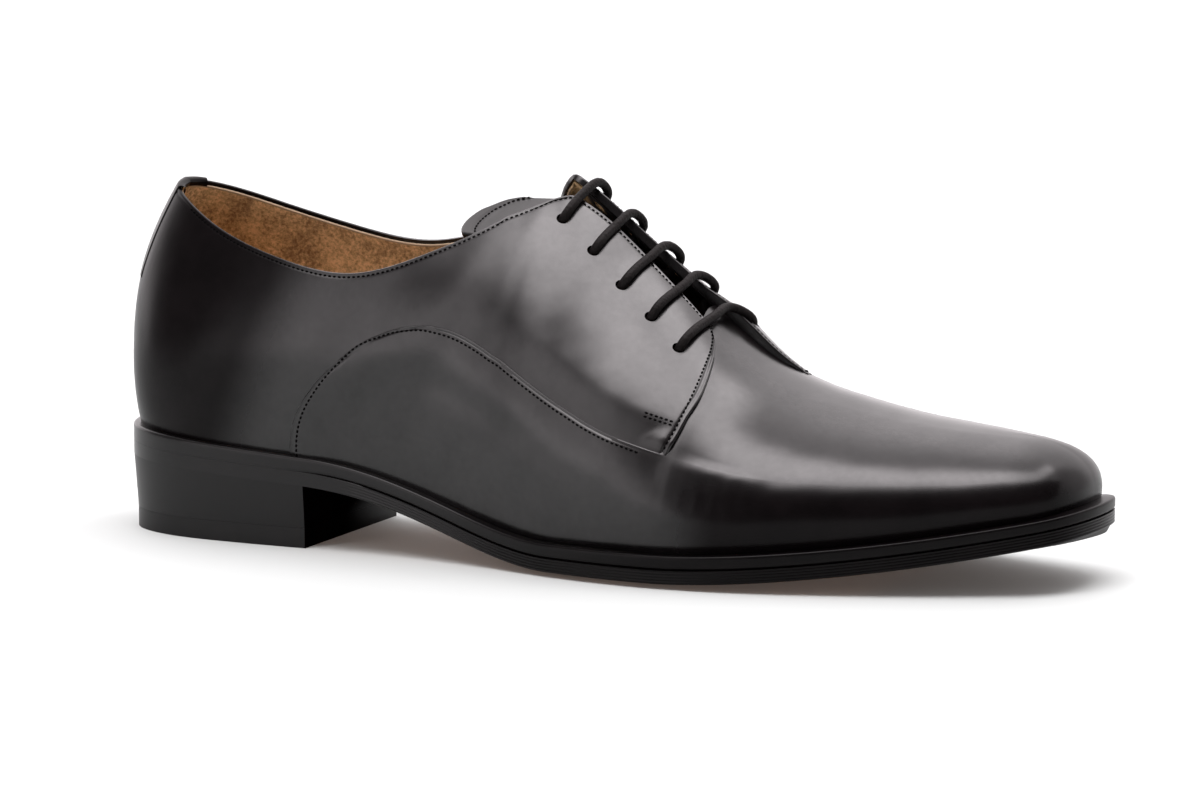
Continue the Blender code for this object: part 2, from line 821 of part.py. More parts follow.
def over_facings(row, share, height):
    """A point over the facings, by the share of the way from a row's lateral eyelet to the medial one."""
    lateral_place, lateral_distance, medial_place, medial_distance = row
    place = lateral_place + (medial_place - lateral_place) * share
    reach = (medial_distance + lateral_distance) * share - lateral_distance
    side = LATERAL if reach < 0.0 else MEDIAL
    spot = share_at_offset(side, place, abs(reach))
    return last_point(side, place, spot) + last_normal(side, place, spot) * (FACING_STEP + height)


def lace_route():
    """Five bars over the facings, joined inside from one row to the next."""
    rows = {side: eyelets(side) for side in SIDES}
    route = []
    side = MEDIAL
    for i, row in enumerate(EYELETS):
        start, start_normal, start_rise = rows[side][i]
        end, end_normal, end_rise = rows[-side][i]
        over = unit(end - start)
        bar = [over_facings(row, share, height) for share, height in BAR]
        if i:
            route.append(start - start_normal * (WALL + LINK_MOUTH) - along * LINK_TURN)
        route.append(start + start_normal * (start_rise - WALL) / 2.0)
        route.append(start + start_normal * (start_rise + MOUTH_LIFT) + over * MOUTH_TURN)
        route += bar if side == LATERAL else bar[::-1]
        route.append(end + end_normal * (end_rise + MOUTH_LIFT) - over * MOUTH_TURN)
        route.append(end + end_normal * (end_rise - WALL) / 2.0)
        side = -side
        if i + 1 < len(EYELETS):
            ahead = rows[side][i + 1][0]
            along = unit(ahead - end)
            route.append(end - end_normal * (WALL + LINK_MOUTH) + along * LINK_TURN)
            route.append((end + ahead) / 2.0 - end_normal * (WALL + LINK_DEPTH))
    return route


def make_lace():
    curve, knots = spline(lace_route())
    lengths = [0.0]
    for here, ahead in zip(knots, knots[1:]):
        count = int(np.ceil((ahead - here) / LACE_STEP))
        lengths += [here + (ahead - here) * (i + 1) / count for i in range(count)]
    data = bpy.data.curves.new("lace", "CURVE")
    data.dimensions = "3D"
    data.bevel_depth = LACE_RADIUS * MM
    data.bevel_resolution = 2
    data.use_fill_caps = True
    line = data.splines.new("POLY")
    line.points.add(len(lengths) - 1)
    for point, length in zip(line.points, lengths):
        point.co = (*(curve(length) * MM), 1.0)
    item = bpy.data.objects.new("lace", data)
    bpy.context.collection.objects.link(item)
    finish(item, (0.01, 0.01, 0.01), 0.6)
    return item


# The whole shoe, moved so that its box stands centred over the origin

def centre(solids, movers):
    corners = np.array([vertex.co for item in solids for vertex in item.data.vertices])
    low = corners.min(axis=0)
    high = corners.max(axis=0)
    shift = np.array([-(low[0] + high[0]) / 2.0, -(low[1] + high[1]) / 2.0, -low[2]])
    for item in movers:
        item.location = shift


def main():
    for item in list(bpy.data.objects):
        bpy.data.objects.remove(item)
    solids = [make_outsole(), make_welt(), make_heel_block(), make_heel_top_piece(), make_insole()]
    upper = make_upper()
    cutter = punch_eyelets(upper)
    solids += [upper, make_tongue()]
    centre(solids, solids + [cutter, make_lace()])


main()
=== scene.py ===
# %% [markdown]
# This lesson dresses the solids of one open-laced black leather shoe for the right foot.
# The imported solids give the frame and the size, and every finer piece is laid over the same last.
# The box of the solids is kept.

import bmesh
import bpy
import numpy as np
from mathutils import Matrix, Vector


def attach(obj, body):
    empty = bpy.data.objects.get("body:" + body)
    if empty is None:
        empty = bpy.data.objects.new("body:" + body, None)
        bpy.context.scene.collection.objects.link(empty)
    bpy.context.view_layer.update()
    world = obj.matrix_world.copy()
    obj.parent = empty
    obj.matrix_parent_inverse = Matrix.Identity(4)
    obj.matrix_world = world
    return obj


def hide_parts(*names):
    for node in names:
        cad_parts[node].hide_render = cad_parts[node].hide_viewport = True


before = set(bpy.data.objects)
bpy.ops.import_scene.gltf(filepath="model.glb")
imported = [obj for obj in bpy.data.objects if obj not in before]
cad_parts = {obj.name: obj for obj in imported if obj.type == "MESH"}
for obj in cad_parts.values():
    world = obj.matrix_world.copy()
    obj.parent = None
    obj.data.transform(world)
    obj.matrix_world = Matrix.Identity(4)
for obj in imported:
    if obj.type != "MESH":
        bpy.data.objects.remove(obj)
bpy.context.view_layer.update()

MM = 0.001
LATERAL = -1
MEDIAL = 1
SIDES = (LATERAL, MEDIAL)

# %% [markdown]
# The photo looks at the lateral side from a little in front and above, through a long lens.
# The camera stands where that view was taken from and turns to the middle of this one shoe.
# A tighter lens would only crop the picture, so the perspective stays that of the photo.

# %% Camera
CAMERA_PLACE = Vector((581.0, -1333.0, 260.0)) * MM
CAMERA_AIM = Vector((2.0, -6.0, 46.0)) * MM
LENS = 150.0

camera_data = bpy.data.cameras.new("camera")
camera_data.lens = LENS
camera_data.sensor_width = 36.0
camera_data.clip_start = 0.05
camera_data.clip_end = 60.0
camera = bpy.data.objects.new("camera", camera_data)
camera.location = CAMERA_PLACE
camera.rotation_euler = (CAMERA_AIM - CAMERA_PLACE).to_track_quat("-Z", "Y").to_euler()
bpy.context.collection.objects.link(camera)
bpy.context.scene.camera = camera
print("camera", round((CAMERA_AIM - CAMERA_PLACE).length, 3), "m away, lens", LENS, "mm")

# %% [markdown]
# A finish is a Principled shader whose colour, roughness and bump are worked out by small sums.
# One class wraps a socket, so that the sums can be written with plain operators.
# Any other node comes from its one method, which takes the type, the settings and the sockets.

# %% A class for shader sums


class Wire:
    """A shader socket that can be added, multiplied and passed on to other nodes."""

    def __init__(self, socket):
        self.socket = socket
        self.tree = socket.id_data

    def node(self, kind, settings, sockets, output=0):
        made = self.tree.nodes.new(kind)
        for name, value in settings.items():
            setattr(made, name, value)
        for name, value in sockets.items():
            if isinstance(value, Wire):
                self.tree.links.new(value.socket, made.inputs[name])
            else:
                made.inputs[name].default_value = value
        return Wire(made.outputs[output])

    def maths(self, operation, first, second):
        return self.node("ShaderNodeMath", {"operation": operation}, {0: first, 1: second})

    def __add__(self, other):
        return self.maths("ADD", self, other)

    __radd__ = __add__

    def __mul__(self, other):
        return self.maths("MULTIPLY", self, other)

    __rmul__ = __mul__

    def __sub__(self, other):
        return self.maths("SUBTRACT", self, other)

    def __rsub__(self, other):
        return self.maths("SUBTRACT", other, self)

    def noise(self, scale, detail=2.0, roughness=0.5):
        sockets = {"Vector": self, "Scale": scale, "Detail": detail, "Roughness": roughness}
        return self.node("ShaderNodeTexNoise", {}, sockets)

    def cells(self, scale):
        sockets = {"Vector": self, "Scale": scale}
        return self.node("ShaderNodeTexVoronoi", {"feature": "SMOOTH_F1"}, sockets)

    def ramp(self, low, high):
        """0 up to low, 1 from high on."""
        sockets = {"Value": self, "From Min": low, "From Max": high}
        return self.node("ShaderNodeMapRange", {"interpolation_type": "SMOOTHSTEP"}, sockets)

    def blend(self, dark, light):
        """A colour between two others."""
        colours = [value if isinstance(value, Wire) else (*value, 1.0) for value in (dark, light)]
        sockets = {0: self, 6: colours[0], 7: colours[1]}
        return self.node("ShaderNodeMix", {"data_type": "RGBA"}, sockets, output=2)

    def bump(self, strength, distance):
        return self.node("ShaderNodeBump", {}, {"Height": self, "Strength": strength, "Distance": distance})


class Finish:
    """A material, its shader and its Object coordinates."""

    def __init__(self, name, **constants):
        self.material = bpy.data.materials.new(name)
        self.material.use_nodes = True
        nodes = self.material.node_tree.nodes
        self.shader = nodes["Principled BSDF"]
        self.place = Wire(nodes.new("ShaderNodeTexCoord").outputs["Object"])
        self.set(**constants)

    def axis(self, number):
        return self.place.node("ShaderNodeSeparateXYZ", {}, {"Vector": self.place}, output=number)

    def attribute(self, name):
        return self.place.node("ShaderNodeAttribute", {"attribute_name": name}, {}, output=2)

    def set(self, **values):
        for name, value in values.items():
            socket = self.shader.inputs[name.replace("_", " ").title()]
            if isinstance(value, Wire):
                value.tree.links.new(value.socket, socket)
            elif isinstance(value, tuple):
                socket.default_value = (*value, 1.0)
            else:
                socket.default_value = value


print("shader class ready")

# %% [markdown]
# Leather shows its shape by what it mirrors, so the studio is drawn as one soft surround.
# A bright strip hangs overhead along the shoe, a dimmer ceiling runs on behind it, and a soft panel stands
# at the heel's end. The camera's side is left dark, which keeps the black leather black.
# Area lamps could light the shoe too, but each would mirror in the wax as a patch with a hard edge.

# %% Surround
# Strengths, and angles in degrees that are swung up from the camera's side
STRIP = 9.0
STRIP_FROM = 61.0
STRIP_TO = 92.0
STRIP_TURN = 0.7
TOE_STRIP_TO = 118.0
CEILING = 2.5
CEILING_FULL_FROM = 112.0
GAP_SHARE = 0.62
WALL_SHARE = 0.5
TOE_SHARE = 0.35
SIDE_LIGHT = 1.95
LOW_SIDE = 0.8
LOW_SIDE_TO = 8.0
REST_LIGHT = 0.14
LIGHT_TINT = (1.0, 0.945, 0.96, 1.0)

bpy.context.scene.view_settings.view_transform = "Standard"
world = bpy.data.worlds.new("surround")
world.use_nodes = True
background = world.node_tree.nodes["Background"]
direction = Wire(world.node_tree.nodes.new("ShaderNodeTexCoord").outputs["Generated"])


def towards(axis):
    """How far a direction points along an axis."""
    sockets = {0: direction, 1: axis}
    return direction.node("ShaderNodeVectorMath", {"operation": "DOT_PRODUCT"}, sockets, output=1)


def past(angle, soft, turn=0.0):
    """1 where a direction has swung up from the camera's side by more than an angle, in degrees."""
    lean = np.radians(angle)
    return towards((-turn, np.sin(lean), np.cos(lean))).ramp(-soft, soft)


ahead = towards((1.0, 0.0, 0.0))
behind = towards((0.0, 1.0, 0.0)).ramp(0.55, 0.95)
lit = past(STRIP_FROM, 0.11, STRIP_TURN)
over = past(STRIP_TO, 0.08) * (1.0 - ahead.ramp(0.08, 0.24) * (1.0 - past(TOE_STRIP_TO, 0.06)))
strip = STRIP * lit * (1.0 - over) * ahead.ramp(-0.52, -0.12) * (1.0 - 0.8 * ahead.ramp(0.30, 0.50))
ceiling = CEILING * over * (GAP_SHARE + (1.0 - GAP_SHARE) * past(CEILING_FULL_FROM, 0.22))
ceiling = ceiling * (1.0 - (1.0 - WALL_SHARE) * behind) * (1.0 - (1.0 - TOE_SHARE) * ahead.ramp(0.3, 0.5))
from_heel = 1.0 - ahead.ramp(-0.42, -0.08)
low_side = LOW_SIDE * (1.0 - ahead.ramp(-0.75, -0.45)) * (1.0 - past(LOW_SIDE_TO, 0.2))
side_panel = SIDE_LIGHT * from_heel * (1.0 - lit) * (1.0 + low_side)
light = REST_LIGHT + strip + ceiling + side_panel
world.node_tree.links.new(light.socket, background.inputs["Strength"])
background.inputs["Color"].default_value = LIGHT_TINT
bpy.context.scene.world = world
print("surround", len(world.node_tree.nodes), "nodes")

# %% [markdown]
# The upper is black polished calf: a fine grain, soft waves where the hide gives, and wax on top.
# The gloss changes from place to place, since polish is rubbed in by hand:
# little at the sides of the heel and low on the forefoot, most where the shoe turns up to the light.
# A picture of leather could be laid on, but noise at the size of real pores stays sharp from near.

# %% Leather finishes
# Where the wax changes along x and up z, in metres
FOREFOOT_RUN = (0.036, 0.056)
FOREFOOT_HEIGHT = (0.026, 0.033)
HEEL_SIDE_RUN = (-0.130, -0.106)
HEEL_SIDE_LEAN = 0.4
VAMP_RUN = (0.015, 0.040)
TOE_RUN_X = (0.128, 0.142)
LEAST_WAX = 0.09


def polish(finish):
    """How much wax is rubbed in, from 0 to 1."""
    along = finish.axis(0)
    above = finish.axis(2)
    low_forefoot = along.ramp(*FOREFOOT_RUN) * (1.0 - above.ramp(*FOREFOOT_HEIGHT))
    heel_side = (along - HEEL_SIDE_LEAN * above).ramp(*HEEL_SIDE_RUN)
    toe = 0.12 * along.ramp(*VAMP_RUN) + 0.5 * along.ramp(*TOE_RUN_X)
    return LEAST_WAX + (1.0 - LEAST_WAX) * heel_side * (1.0 - low_forefoot) * (1.0 - toe)


def calf(name, tint, roughness, coat):
    """Dyed leather with grain, pores and soft waves, under a coat of wax."""
    finish = Finish(name, coat_roughness=0.23)
    finish.shader.inputs["Specular IOR Level"].default_value = 0.06
    waves = finish.place.noise(38.0, 2.0)
    grain = finish.place.cells(1500.0)
    pores = finish.place.noise(2600.0, 3.0, 0.6)
    rubbed = finish.place.noise(95.0, 4.0, 0.6)
    mottle = finish.place.noise(520.0, 3.0, 0.6)
    finish.set(
        base_color=rubbed.ramp(0.3, 0.75).blend(tint, tuple(1.7 * v for v in tint)),
        roughness=roughness + 0.10 * (rubbed - 0.5) + 0.08 * (waves - 0.5),
        coat_weight=coat * polish(finish) * (0.70 + 0.28 * rubbed + 0.32 * mottle),
        normal=(grain * 0.55 + pores * 0.45 + waves * 14.0).bump(0.32, 0.00006),
    )
    return finish.material


upper_calf = calf("black_calf", (0.0022, 0.0015, 0.0017), 0.30, 0.9)
tongue_calf = calf("black_tongue", (0.0034, 0.0029, 0.0030), 0.44, 0.4)
print("calf finishes", upper_calf.name, tongue_calf.name)

# %% [markdown]
# The lining is undyed split leather, mottled by wear, and its raw edge is paler than its face.
# Two materials would leave a hard border between them, so numbers stored on the mesh tell the shader
# how near the raw edge is and where painted shade turns the leather black, inside the facings.
# The sole is bare leather of the same kind, with painted shade in black under the toe.

# %% Lining and sole finishes
# The black of painted shade, inside the facings and under the toe
PAINTED_SHADE_BLACK = (0.004, 0.002, 0.002)
TOE_SHADE_RUN = (0.090, 0.102)


def tan_leather(name, dark, light, edge, roughness, toe_shade=0.0):
    """Undyed leather with a nap, mottled from dark to light, with painted shade blended in as black where
    marked.
    """
    finish = Finish(name)
    cloud = finish.place.noise(70.0, 6.0, 0.7)
    nap = finish.place.noise(950.0, 4.0, 0.7)
    face = (cloud * 0.5 + nap * 0.5).ramp(0.36, 0.64).blend(dark, light)
    face = finish.attribute("edge").blend(face, edge)
    # Painted shade: black where the mesh marks shade, and under the toe of the sole
    blacked = finish.attribute("blacked") + toe_shade * finish.axis(0).ramp(*TOE_SHADE_RUN)
    finish.set(
        base_color=blacked.blend(face, PAINTED_SHADE_BLACK),
        roughness=roughness + 0.1 * (nap - 0.5),
        normal=(nap + cloud * 2.0).bump(0.35, 0.00012),
    )
    return finish.material


lining_tan = tan_leather("tan_lining", (0.23, 0.130, 0.056), (0.95, 0.64, 0.330), (0.40, 0.29, 0.19), 0.85)
sock_tan = tan_leather("tan_sock", (0.14, 0.07, 0.03), (0.36, 0.21, 0.10), (0.4, 0.3, 0.2), 0.7)
# The sole's tan turns black under the toe as painted shade
sole_tan = tan_leather("sole_leather", (0.20, 0.085, 0.035), (0.36, 0.17, 0.075), (0.3, 0.15, 0.07), 0.5,
                       toe_shade=1.0)
print("tan finishes", lining_tan.name, sock_tan.name, sole_tan.name)

# %% [markdown]
# Sole edges are sanded, inked black and burnished with wax, so they shine softly and show fine lines.
# The heel's top piece is black rubber, and the thread is black and dull. They differ only in tint,
# wax and depth of line, so one function makes them all. The heel's breast, the face towards the toe,
# is left without wax, and the edge along the forefoot has little of it.

# %% Edge, rubber and thread finishes
# Where the wax changes along x, in metres
BREAST_RUN = (-0.08250, -0.08236)
FORE_RUN = (-0.06, 0.04)
LINE_SCALE = (60.0, 60.0, 1500.0)


def inked(name, tint, roughness, coat, depth, shine, breast_dull=0.0, fore_dull=0.0):
    """Inked leather or rubber with fine level lines, under wax."""
    finish = Finish(name, coat_roughness=0.3)
    finish.shader.inputs["Specular IOR Level"].default_value = shine
    breast = breast_dull * finish.axis(0).ramp(*BREAST_RUN)
    fore = fore_dull * finish.axis(0).ramp(*FORE_RUN)
    cloud = finish.place.noise(120.0, 4.0, 0.6)
    stretch = finish.place.node("ShaderNodeVectorMath", {"operation": "MULTIPLY"},
                                {0: finish.place, 1: LINE_SCALE})
    lines = stretch.noise(1.0, 2.0)
    finish.set(
        base_color=cloud.ramp(0.35, 0.7).blend(tint, tuple(1.9 * v for v in tint)),
        roughness=roughness + 0.14 * (cloud - 0.5),
        coat_weight=coat * (1.0 - breast) * (1.0 - fore),
        normal=(lines + cloud).bump(0.4, depth),
    )
    return finish.material


edge_ink = inked("black_edge", (0.0012, 0.0008, 0.0009), 0.34, 0.5, 0.00008, 0.05, fore_dull=0.75)
heel_ink = inked("black_heel", (0.0010, 0.0006, 0.0007), 0.40, 0.6, 0.00006, 0.0, breast_dull=1.0)
rubber = inked("heel_rubber", (0.0012, 0.0008, 0.0009), 0.62, 0.52, 0.00005, 0.0, breast_dull=1.0)
thread_wax = inked("black_thread", (0.0008, 0.0006, 0.0007), 0.8, 0.0, 0.00003, 0.04)
print("inked finishes", edge_ink.name, heel_ink.name, rubber.name, thread_wax.name)

# %% [markdown]
# The lace is a round braided cord, rubbed with a little wax, so it is duller than the leather.
# The braid could be modelled strand by strand, but at this size cells in the bump give the same look.

# %% Cord finish


def corded(name, tint):
    """Waxed cord with the cells of a braid and a little fuzz."""
    finish = Finish(name, roughness=0.62)
    finish.shader.inputs["Specular IOR Level"].default_value = 0.14
    braid = finish.place.cells(1150.0)
    fuzz = finish.place.noise(2400.0, 3.0, 0.6)
    finish.set(
        base_color=fuzz.ramp(0.35, 0.7).blend(tint, tuple(3.0 * v for v in tint)),
        normal=(braid + fuzz * 0.5).bump(0.8, 0.0003),
    )
    return finish.material


cord_wax = corded("waxed_cord", (0.0030, 0.0020, 0.0020))
print("cord finish", cord_wax.name)

# %% [markdown]
# The last is the wooden form a shoe is made on. It is drawn here as curves through short tables,
# in millimetres, with x from the heel's back to the toe, the lateral side at -y and the floor at z = 0.
# Every function takes whole arrays, so that a fine mesh costs no more lines than a coarse one.

# %% Curves through tables


def smooth(t):
    t = np.clip(t, 0.0, 1.0)
    return t * t * (3.0 - 2.0 * t)


def hermite(t, start, end, start_slope, end_slope):
    s = 1.0 - t
    return (start * (1.0 + 2.0 * t) * s * s + start_slope * t * s * s
            + end * t * t * (3.0 - 2.0 * t) - end_slope * t * t * s)


def unit(vectors):
    return vectors / np.maximum(np.linalg.norm(vectors, axis=-1, keepdims=True), 1e-9)


def between(places, values, slopes):
    """A function that runs through the values with the slopes."""
    gaps = np.diff(places)

    def at(place):
        place = np.clip(np.asarray(place, float), places[0], places[-1])
        i = np.minimum(np.searchsorted(places, place, side="right") - 1, len(gaps) - 1)
        gap = gaps[i][..., None]
        t = (place - places[i])[..., None] / gap
        found = hermite(t, values[i], values[i + 1], slopes[i] * gap, slopes[i + 1] * gap)
        return found[..., 0] if values.shape[1] == 1 else found

    return at


def spline(rows, closed=False):
    """A cubic curve through rows of points, by length, and the lengths at which it passes them."""
    points = np.array(rows, float)
    if closed:
        points = np.vstack([points, points[:1]])
    gaps = np.linalg.norm(np.diff(points, axis=0), axis=1)
    knots = np.concatenate([[0.0], np.cumsum(gaps)])
    rate = np.diff(points, axis=0) / gaps[:, None]
    count = len(points)
    left = np.zeros((count, count))
    right = np.zeros_like(points)
    for i in range(1, count - 1):
        left[i, i - 1:i + 2] = (1.0 / gaps[i - 1], 2.0 / gaps[i - 1] + 2.0 / gaps[i], 1.0 / gaps[i])
        right[i] = 3.0 * (rate[i - 1] / gaps[i - 1] + rate[i] / gaps[i])
    if closed:
        left[0, [0, -1]] = (1.0, -1.0)
        left[-1, [0, 1, -2, -1]] = (2.0 / gaps[0], 1.0 / gaps[0], 1.0 / gaps[-1], 2.0 / gaps[-1])
        right[-1] = 3.0 * (rate[0] / gaps[0] + rate[-1] / gaps[-1])
    else:
        left[0, :2] = (2.0, 1.0)
        left[-1, -2:] = (1.0, 2.0)
        right[0] = 3.0 * rate[0]
        right[-1] = 3.0 * rate[-1]
    return between(knots, points, np.linalg.solve(left, right)), knots


def table(rows):
    """Values between the rows of a table, sorted by its first column, that never overshoot them."""
    rows = np.array(rows, float)
    rate = np.diff(rows[:, 1:], axis=0) / np.diff(rows[:, 0])[:, None]
    slopes = np.vstack([rate[:1], np.zeros_like(rate[1:]), rate[-1:]])
    product = rate[:-1] * rate[1:]
    total = np.where(product > 0.0, rate[:-1] + rate[1:], 1.0)
    slopes[1:-1] = np.where(product > 0.0, 2.0 * product / total, 0.0)
    return between(rows[:, 0], rows[:, 1:], slopes)


print("curve check", table(((0.0, 0.0), (1.0, 1.0), (2.0, 4.0)))(1.0))

# %% [markdown]
# The sole is an outline seen from above and a height at every place along it:
# the heel seat, the arch, the flat under the ball and the spring of the toe.
# Curves through a few rows keep it smooth, where a traced line would show every wobble.

# %% Outline and heights of the sole
LENGTH = 306.0
BREAST_X = 70.0
BALL_BACK_X = 155.0
BALL_FRONT_X = 188.0
SEAT_BACK_Z = 22.5
SEAT_BREAST_Z = 18.8
TOE_SPRING = 15.2
SPRING_POWER = 1.65
CAMBER = 1.3
CAMBER_RUN = 50.0
OUTLINE = (
    # x, lateral half width, medial half width
    (5.0, 18.5, 18.5),
    (19.0, 28.5, 28.0),
    (42.0, 33.0, 32.0),
    (70.0, 34.3, 30.5),
    (97.0, 35.5, 26.5),
    (125.0, 40.0, 26.0),
    (155.0, 48.0, 31.5),
    (184.0, 52.3, 41.5),
    (212.0, 50.5, 48.5),
    (240.0, 43.8, 46.3),
    (266.0, 35.0, 39.5),
    (286.0, 26.5, 32.5),
    (298.5, 19.0, 26.0),
    (303.5, 10.5, 19.0),
)
HEEL_BACK = (0.0, 0.0)
TOE_TIP = (LENGTH, 5.0)
edge_height = table(((0.0, 9.5), (70.0, 8.4), (215.0, 8.2), (306.0, 7.6)))
margin = table(((0.0, 2.2), (0.25, 2.4), (0.45, 3.2), (0.7, 3.8), (0.9, 3.8), (1.0, 4.2)))

outline_rows = [HEEL_BACK] + [(x, -lateral) for x, lateral, medial in OUTLINE] + [TOE_TIP]
outline_rows += [(x, medial) for x, lateral, medial in reversed(OUTLINE)]
outline, outline_knots = spline(outline_rows, closed=True)
TOE_LENGTH = outline_knots[len(OUTLINE) + 1]
FULL_LENGTH = outline_knots[-1]


def edge_point(side, share):
    """A point of the outline, by the share of the way from the heel's back to the toe."""
    full = TOE_LENGTH if side == LATERAL else TOE_LENGTH - FULL_LENGTH
    return outline(np.mod(np.asarray(share) * full, FULL_LENGTH))


def edge_normal(side, share):
    """The outward direction of the outline, level with the floor."""
    along = unit(edge_point(side, share + 0.001) - edge_point(side, share - 0.001))
    return np.stack([-along[..., 1], along[..., 0]], -1) * side


def inset_edge(side, share, inset):
    return edge_point(side, share) - edge_normal(side, share) * np.asarray(inset)[..., None]


def share_at(side, x):
    shares = np.linspace(0.0, 1.0, 4001)[1:-1]
    return np.interp(x, edge_point(side, shares)[:, 0], shares)


def sole_flat(x):
    """Height of the underside along the middle of the sole."""
    slope = (SEAT_BACK_Z - SEAT_BREAST_Z) / BREAST_X
    arch = BALL_BACK_X - BREAST_X
    waist = hermite((BALL_BACK_X - x) / arch, 0.0, SEAT_BREAST_Z, 0.0, slope * arch)
    spring = TOE_SPRING * (np.maximum(x - BALL_FRONT_X, 0.0) / (LENGTH - BALL_FRONT_X)) ** SPRING_POWER
    front = np.where(x < BALL_BACK_X, waist, spring)
    return np.where(x < BREAST_X, SEAT_BREAST_Z + slope * (BREAST_X - x), front)


def sole_edge(x):
    return sole_flat(x) + CAMBER * smooth((x - BREAST_X) / CAMBER_RUN)


def welt_top(x):
    return sole_edge(x) + edge_height(x)


print("sole", round(FULL_LENGTH), "mm round, toe lifted", round(float(sole_edge(np.array(LENGTH))), 1), "mm")

# %% [markdown]
# Each section of the last is one curve from the feather line, where the upper meets the welt,
# up to the topline or to the crest of the instep and vamp.
# The place of a section counts 0 at the heel, 1 at the top of the facings, 2 at their front, 3 at the toe.

# %% Tables of the last
CREST_Y = 4.0
THROAT_X = 189.8
TOPLINE = (
    # x, lateral half width, lateral z, medial half width, medial z
    (13.0, 0.0, 104.6, 0.0, 104.6),
    (14.3, 6.2, 103.6, 6.2, 104.1),
    (20.0, 12.6, 100.6, 12.8, 102.3),
    (35.0, 20.8, 93.3, 21.8, 96.7),
    (58.0, 27.0, 85.9, 27.3, 89.8),
    (84.0, 28.3, 82.4, 27.6, 86.5),
    (108.0, 24.4, 89.6, 23.5, 91.0),
    (128.0, 15.0, 99.7, 13.5, 95.5),
    (139.2, -CREST_Y, 112.1, CREST_Y, 112.1),
)
CREST = (
    # x, z
    (139.2, 112.1),
    (152.3, 102.0),
    (165.3, 91.2),
    (177.5, 81.3),
    (188.8, 71.2),
    (200.0, 62.2),
    (212.2, 55.7),
    (229.4, 50.3),
    (250.6, 45.8),
    (267.8, 43.7),
    (279.0, 42.4),
)
section_shape = table((
    # place, lean at the foot, pull at the foot, rise at the top, pull at the top, forward sweep
    (0.0, 13.0, 0.40, 58.0, 0.40, 0.0),
    (0.25, 13.0, 0.38, 68.0, 0.36, 0.0),
    (0.55, 12.0, 0.36, 66.0, 0.34, 0.0),
    (0.8, 10.0, 0.38, 46.0, 0.36, 0.0),
    (1.0, 12.0, 0.38, 30.0, 0.40, 2.0),
    (1.5, 16.0, 0.36, 24.0, 0.42, 5.0),
    (2.0, 22.0, 0.34, 14.0, 0.42, 9.0),
    (2.3, 26.0, 0.34, 4.0, 0.45, 4.0),
    (2.6, 26.0, 0.34, 0.0, 0.48, 0.0),
    (2.8, 16.0, 0.38, 0.0, 0.52, 0.0),
    (2.92, 10.0, 0.38, 0.0, 0.535, 0.0),
    (2.97, 9.1, 0.38, 0.0, 0.54, 0.0),
    (3.0, 9.0, 0.38, 0.0, 0.54, 0.0),
))
crest, crest_knots = spline([(x, CREST_Y, z) for x, z in CREST])
lengths = np.linspace(0.0, crest_knots[-1], 4001)
THROAT_LENGTH = np.interp(THROAT_X, crest(lengths)[:, 0], lengths)
TOE_RUN = crest_knots[-1] - THROAT_LENGTH
print("crest", round(float(crest_knots[-1]), 1), "mm, throat", round(float(THROAT_LENGTH), 1), "mm down it")

# %% [markdown]
# A section has four control points: its two ends, and two pulls that set how it leaves them.
# A curve through many points could bulge anywhere, while two pulls keep it taut, as lasting keeps leather.
# The sections change over from the topline to the crest at place 1, and that line is rounded afterwards.

# %% Sections of the last
GAP = 0.02
PLACES = np.linspace(0.0, 3.0, 601)
FACING_FOOT_X = 130.0
THROAT_FOOT_X = 190.0
LOW_SWEEP = 0.4
TOE_SWING_FROM = 2.45
TOPLINE_TURN_FROM = 0.55
EASE_REACH = 0.20
EASE_FADE = 0.12
PULL_ROUNDS = 150
TOP_ROUNDS = 40


def crest_length(place):
    """How far down the crest the sections of the facings and the vamp end."""
    toe = THROAT_LENGTH + TOE_RUN * (1.0 - (3.0 - place) ** 2)
    return np.where(place < 2.0, THROAT_LENGTH * (place - 1.0), toe)


def tops(side):
    """The upper ends of all the sections, and the level directions in which they arrive there."""
    column = 1 if side == LATERAL else 3
    topline, knots = spline([(row[0], side * row[column], row[column + 1]) for row in TOPLINE])
    place = PLACES[:, None]
    across = np.array([0.0, -side, 0.0])
    along = topline(PLACES * knots[-1] + 0.5) - topline(PLACES * knots[-1] - 0.5)
    inward = unit(np.stack([along[:, 1], -along[:, 0], 0.0 * PLACES], -1)) * side
    inward = np.where(place == 0.0, np.array([1.0, 0.0, 0.0]), inward)
    turn = smooth((place - TOPLINE_TURN_FROM) / (1.0 - TOPLINE_TURN_FROM))
    collar = unit(inward * (1.0 - turn) + across * turn)
    length = crest_length(PLACES)
    back = unit(crest(length - 0.5) - crest(length + 0.5))
    swing = smooth((place - TOE_SWING_FROM) / (3.0 - TOE_SWING_FROM)) * np.pi / 2.0
    front = across * np.cos(swing) + back * np.sin(swing)
    high = np.where(place < 1.0, topline(PLACES * knots[-1]), crest(length))
    return high, np.where(place < 1.0, collar, np.where(place < 2.0, across, front))


def all_sections(side):
    """The four control points of each section."""
    feet = (0.0, share_at(side, FACING_FOOT_X), share_at(side, THROAT_FOOT_X), 1.0)
    share = np.interp(PLACES, (0.0, 1.0, 2.0, 3.0), feet)
    normal = edge_normal(side, share)
    flat = inset_edge(side, share, margin(share))
    low = np.column_stack([flat, welt_top(edge_point(side, share)[:, 0]) + GAP])
    high, heading = tops(side)
    lean, pull_low, rise, pull_high, sweep = section_shape(PLACES).T[:, :, None]
    lean = np.radians(lean)
    rise = np.radians(rise)
    chord = np.linalg.norm(high - low, axis=1)[:, None]
    up = np.array([0.0, 0.0, 1.0])
    start = up * np.cos(lean) + np.column_stack([normal, 0.0 * share]) * np.sin(lean)
    end = heading * np.cos(rise) + up * np.sin(rise)
    forward = np.array([1.0, 0.0, 0.0]) * sweep
    low_pull = low + start * chord * pull_low + forward * LOW_SWEEP
    return np.stack([low, low_pull, high - end * chord * pull_high + forward, high], 1)


